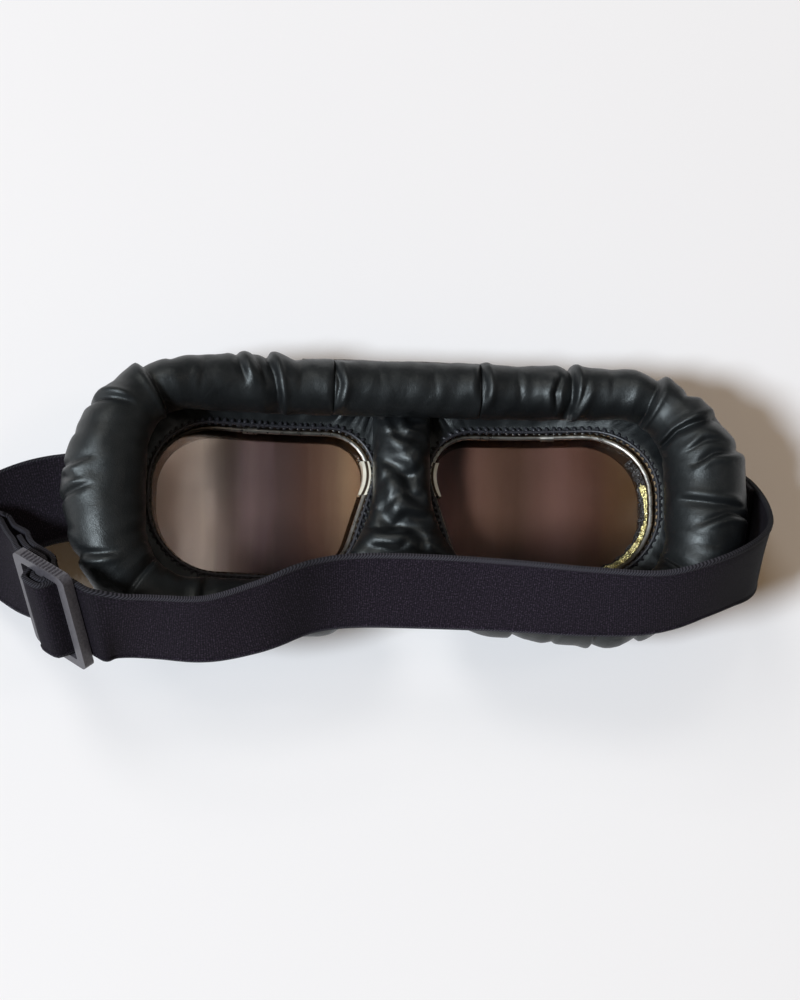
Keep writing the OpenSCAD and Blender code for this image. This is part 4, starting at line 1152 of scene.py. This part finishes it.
def strap_strip(name, first, last, step=1.2):
    """One stretch of the strap: a flat grid laid on the route, given its thickness."""
    rows = max(2, round((last - first) / step))
    bpy.ops.mesh.primitive_grid_add(x_subdivisions=len(SECTION) - 1, y_subdivisions=rows, size=1)
    piece = bpy.context.object
    piece.name = name
    mesh = piece.data
    columns = len(SECTION)
    mesh.uv_layers.remove(mesh.uv_layers[0])
    weave = mesh.uv_layers.new(name="weave")
    for loop in mesh.loops:
        row, column = divmod(loop.vertex_index, columns)
        weave.data[loop.index].uv = (first + (last - first) * row / rows, SECTION[column][0])
    thick = piece.vertex_groups.new(name="thick")
    thickest = max(t for _, t in SECTION)
    for row in range(rows + 1):
        at = first + (last - first) * row / rows
        middle, width = smooth_row(MIDDLES, at), unit(smooth_row(WIDTHS, at))
        for column, (across, thickness) in enumerate(SECTION):
            index = row * columns + column
            mesh.vertices[index].co = (middle + width * across) * MM
            thick.add([index], thickness / thickest, "REPLACE")
    thicken(piece, thickest, "thick")
    return dressed(outwards(apply_modifiers(piece)), elastic_webbing, 50)


# %% Cut the strap where it passes from one moving body to the next
def cut_near(s, returning=False):
    """The strip's length at the station nearest to s mm along the route, on either layer."""
    turn = next(i for i, p in enumerate(STRIP) if p[0] > STRAP_L)
    picks = range(turn, len(STRIP) - len(BAR_HOLD)) if returning else range(14, turn)
    return float(STRIP_AT[min(picks, key=lambda i: abs(STRIP[i][0] - s))])


CUTS = (0, cut_near(30), cut_near(SLIDER_S - 24), cut_near(SLIDER_S), cut_near(SLIDER_S + 34),
        cut_near(SLIDER_S + 34, returning=True), STRIP_L)
STRETCHES = ("right_end", "over_cheeks", "before_slider", "after_slider", "left_end", "sewn_back")
stretches = [strap_strip(f"strap_{name}", first, last)
             for name, first, last in zip(STRETCHES, CUTS, CUTS[1:])]
right_end, over_cheeks, before_slider, after_slider, left_end, sewn_back = stretches
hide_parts("head_strap")
print("strap pieces cut at", [round(v, 1) for v in CUTS])


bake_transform(right_end)
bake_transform(over_cheeks)
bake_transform(before_slider)
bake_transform(after_slider)
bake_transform(sewn_back)
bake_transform(left_end)


# %% [markdown]
# ## Table and light
# A pale table, a lamp on the left that casts the shadow to the right, a large dim panel behind it
# for the long sheen on the rolls, a small dim one that shows in the left lens, and a little warm
# light from all round.

# %% Table
bpy.ops.mesh.primitive_plane_add(size=6, location=(0, 0, -0.0002))
table = settle(bpy.context.object)
table.name = "table"
pale = Finish("pale_table")
cloudy = pale.noise(pale.place(), 3, 3, 0.5)
pale.shade(
    Base_Color=pale.ramp(cloudy, [(0.3, (0.87, 0.87, 0.885)), (0.7, (0.89, 0.89, 0.9))]),
    Roughness=0.7,
    Specular_IOR_Level=0.2)
table.data.materials.append(pale.material)


# %% Lamps
def soft_lamp(name, azimuth, elevation, distance, size, power, colour):
    a, e = math.radians(azimuth), math.radians(elevation)
    way = np.array([math.cos(a) * math.cos(e), math.sin(a) * math.cos(e), math.sin(e)])
    bpy.ops.object.light_add(type="AREA", location=tuple(way * distance))
    lamp = bpy.context.object
    lamp.name = name
    lamp.data.shape = "DISK"
    lamp.data.size = size
    lamp.data.energy = power
    lamp.data.color = colour
    lamp.rotation_euler = (math.pi / 2 - e, 0, a + math.pi / 2)


soft_lamp("key_lamp", 198, 49, 6, 1.4, 392, (0.84, 0.92, 1.0))
soft_lamp("sheen_panel", 122, 50, 5, 2.0, 42, (1.0, 0.97, 0.92))
soft_lamp("lens_glint", 12, 53, 5, 0.95, 8, (1.0, 0.88, 0.8))

# %% World: warm and dim, and dimmer still in reflections
world = bpy.data.worlds.new("studio")
bpy.context.scene.world = world
world.use_nodes = True
nodes, links = world.node_tree.nodes, world.node_tree.links
choose = nodes.new("ShaderNodeMixShader")
links.new(nodes.new("ShaderNodeLightPath").outputs["Is Glossy Ray"], choose.inputs[0])
glows = [(nodes["Background"], (1.0, 0.63, 0.3, 1), 0.18),
         (nodes.new("ShaderNodeBackground"), (0.9, 0.97, 1.0, 1), 0.06)]
for socket, (glow, colour, strength) in enumerate(glows, 1):
    glow.inputs["Color"].default_value = colour
    glow.inputs["Strength"].default_value = strength
    links.new(glow.outputs[0], choose.inputs[socket])
output = next(node for node in nodes if node.type == "OUTPUT_WORLD")
links.new(choose.outputs[0], output.inputs["Surface"])
bpy.context.scene.view_settings.view_transform = "Standard"
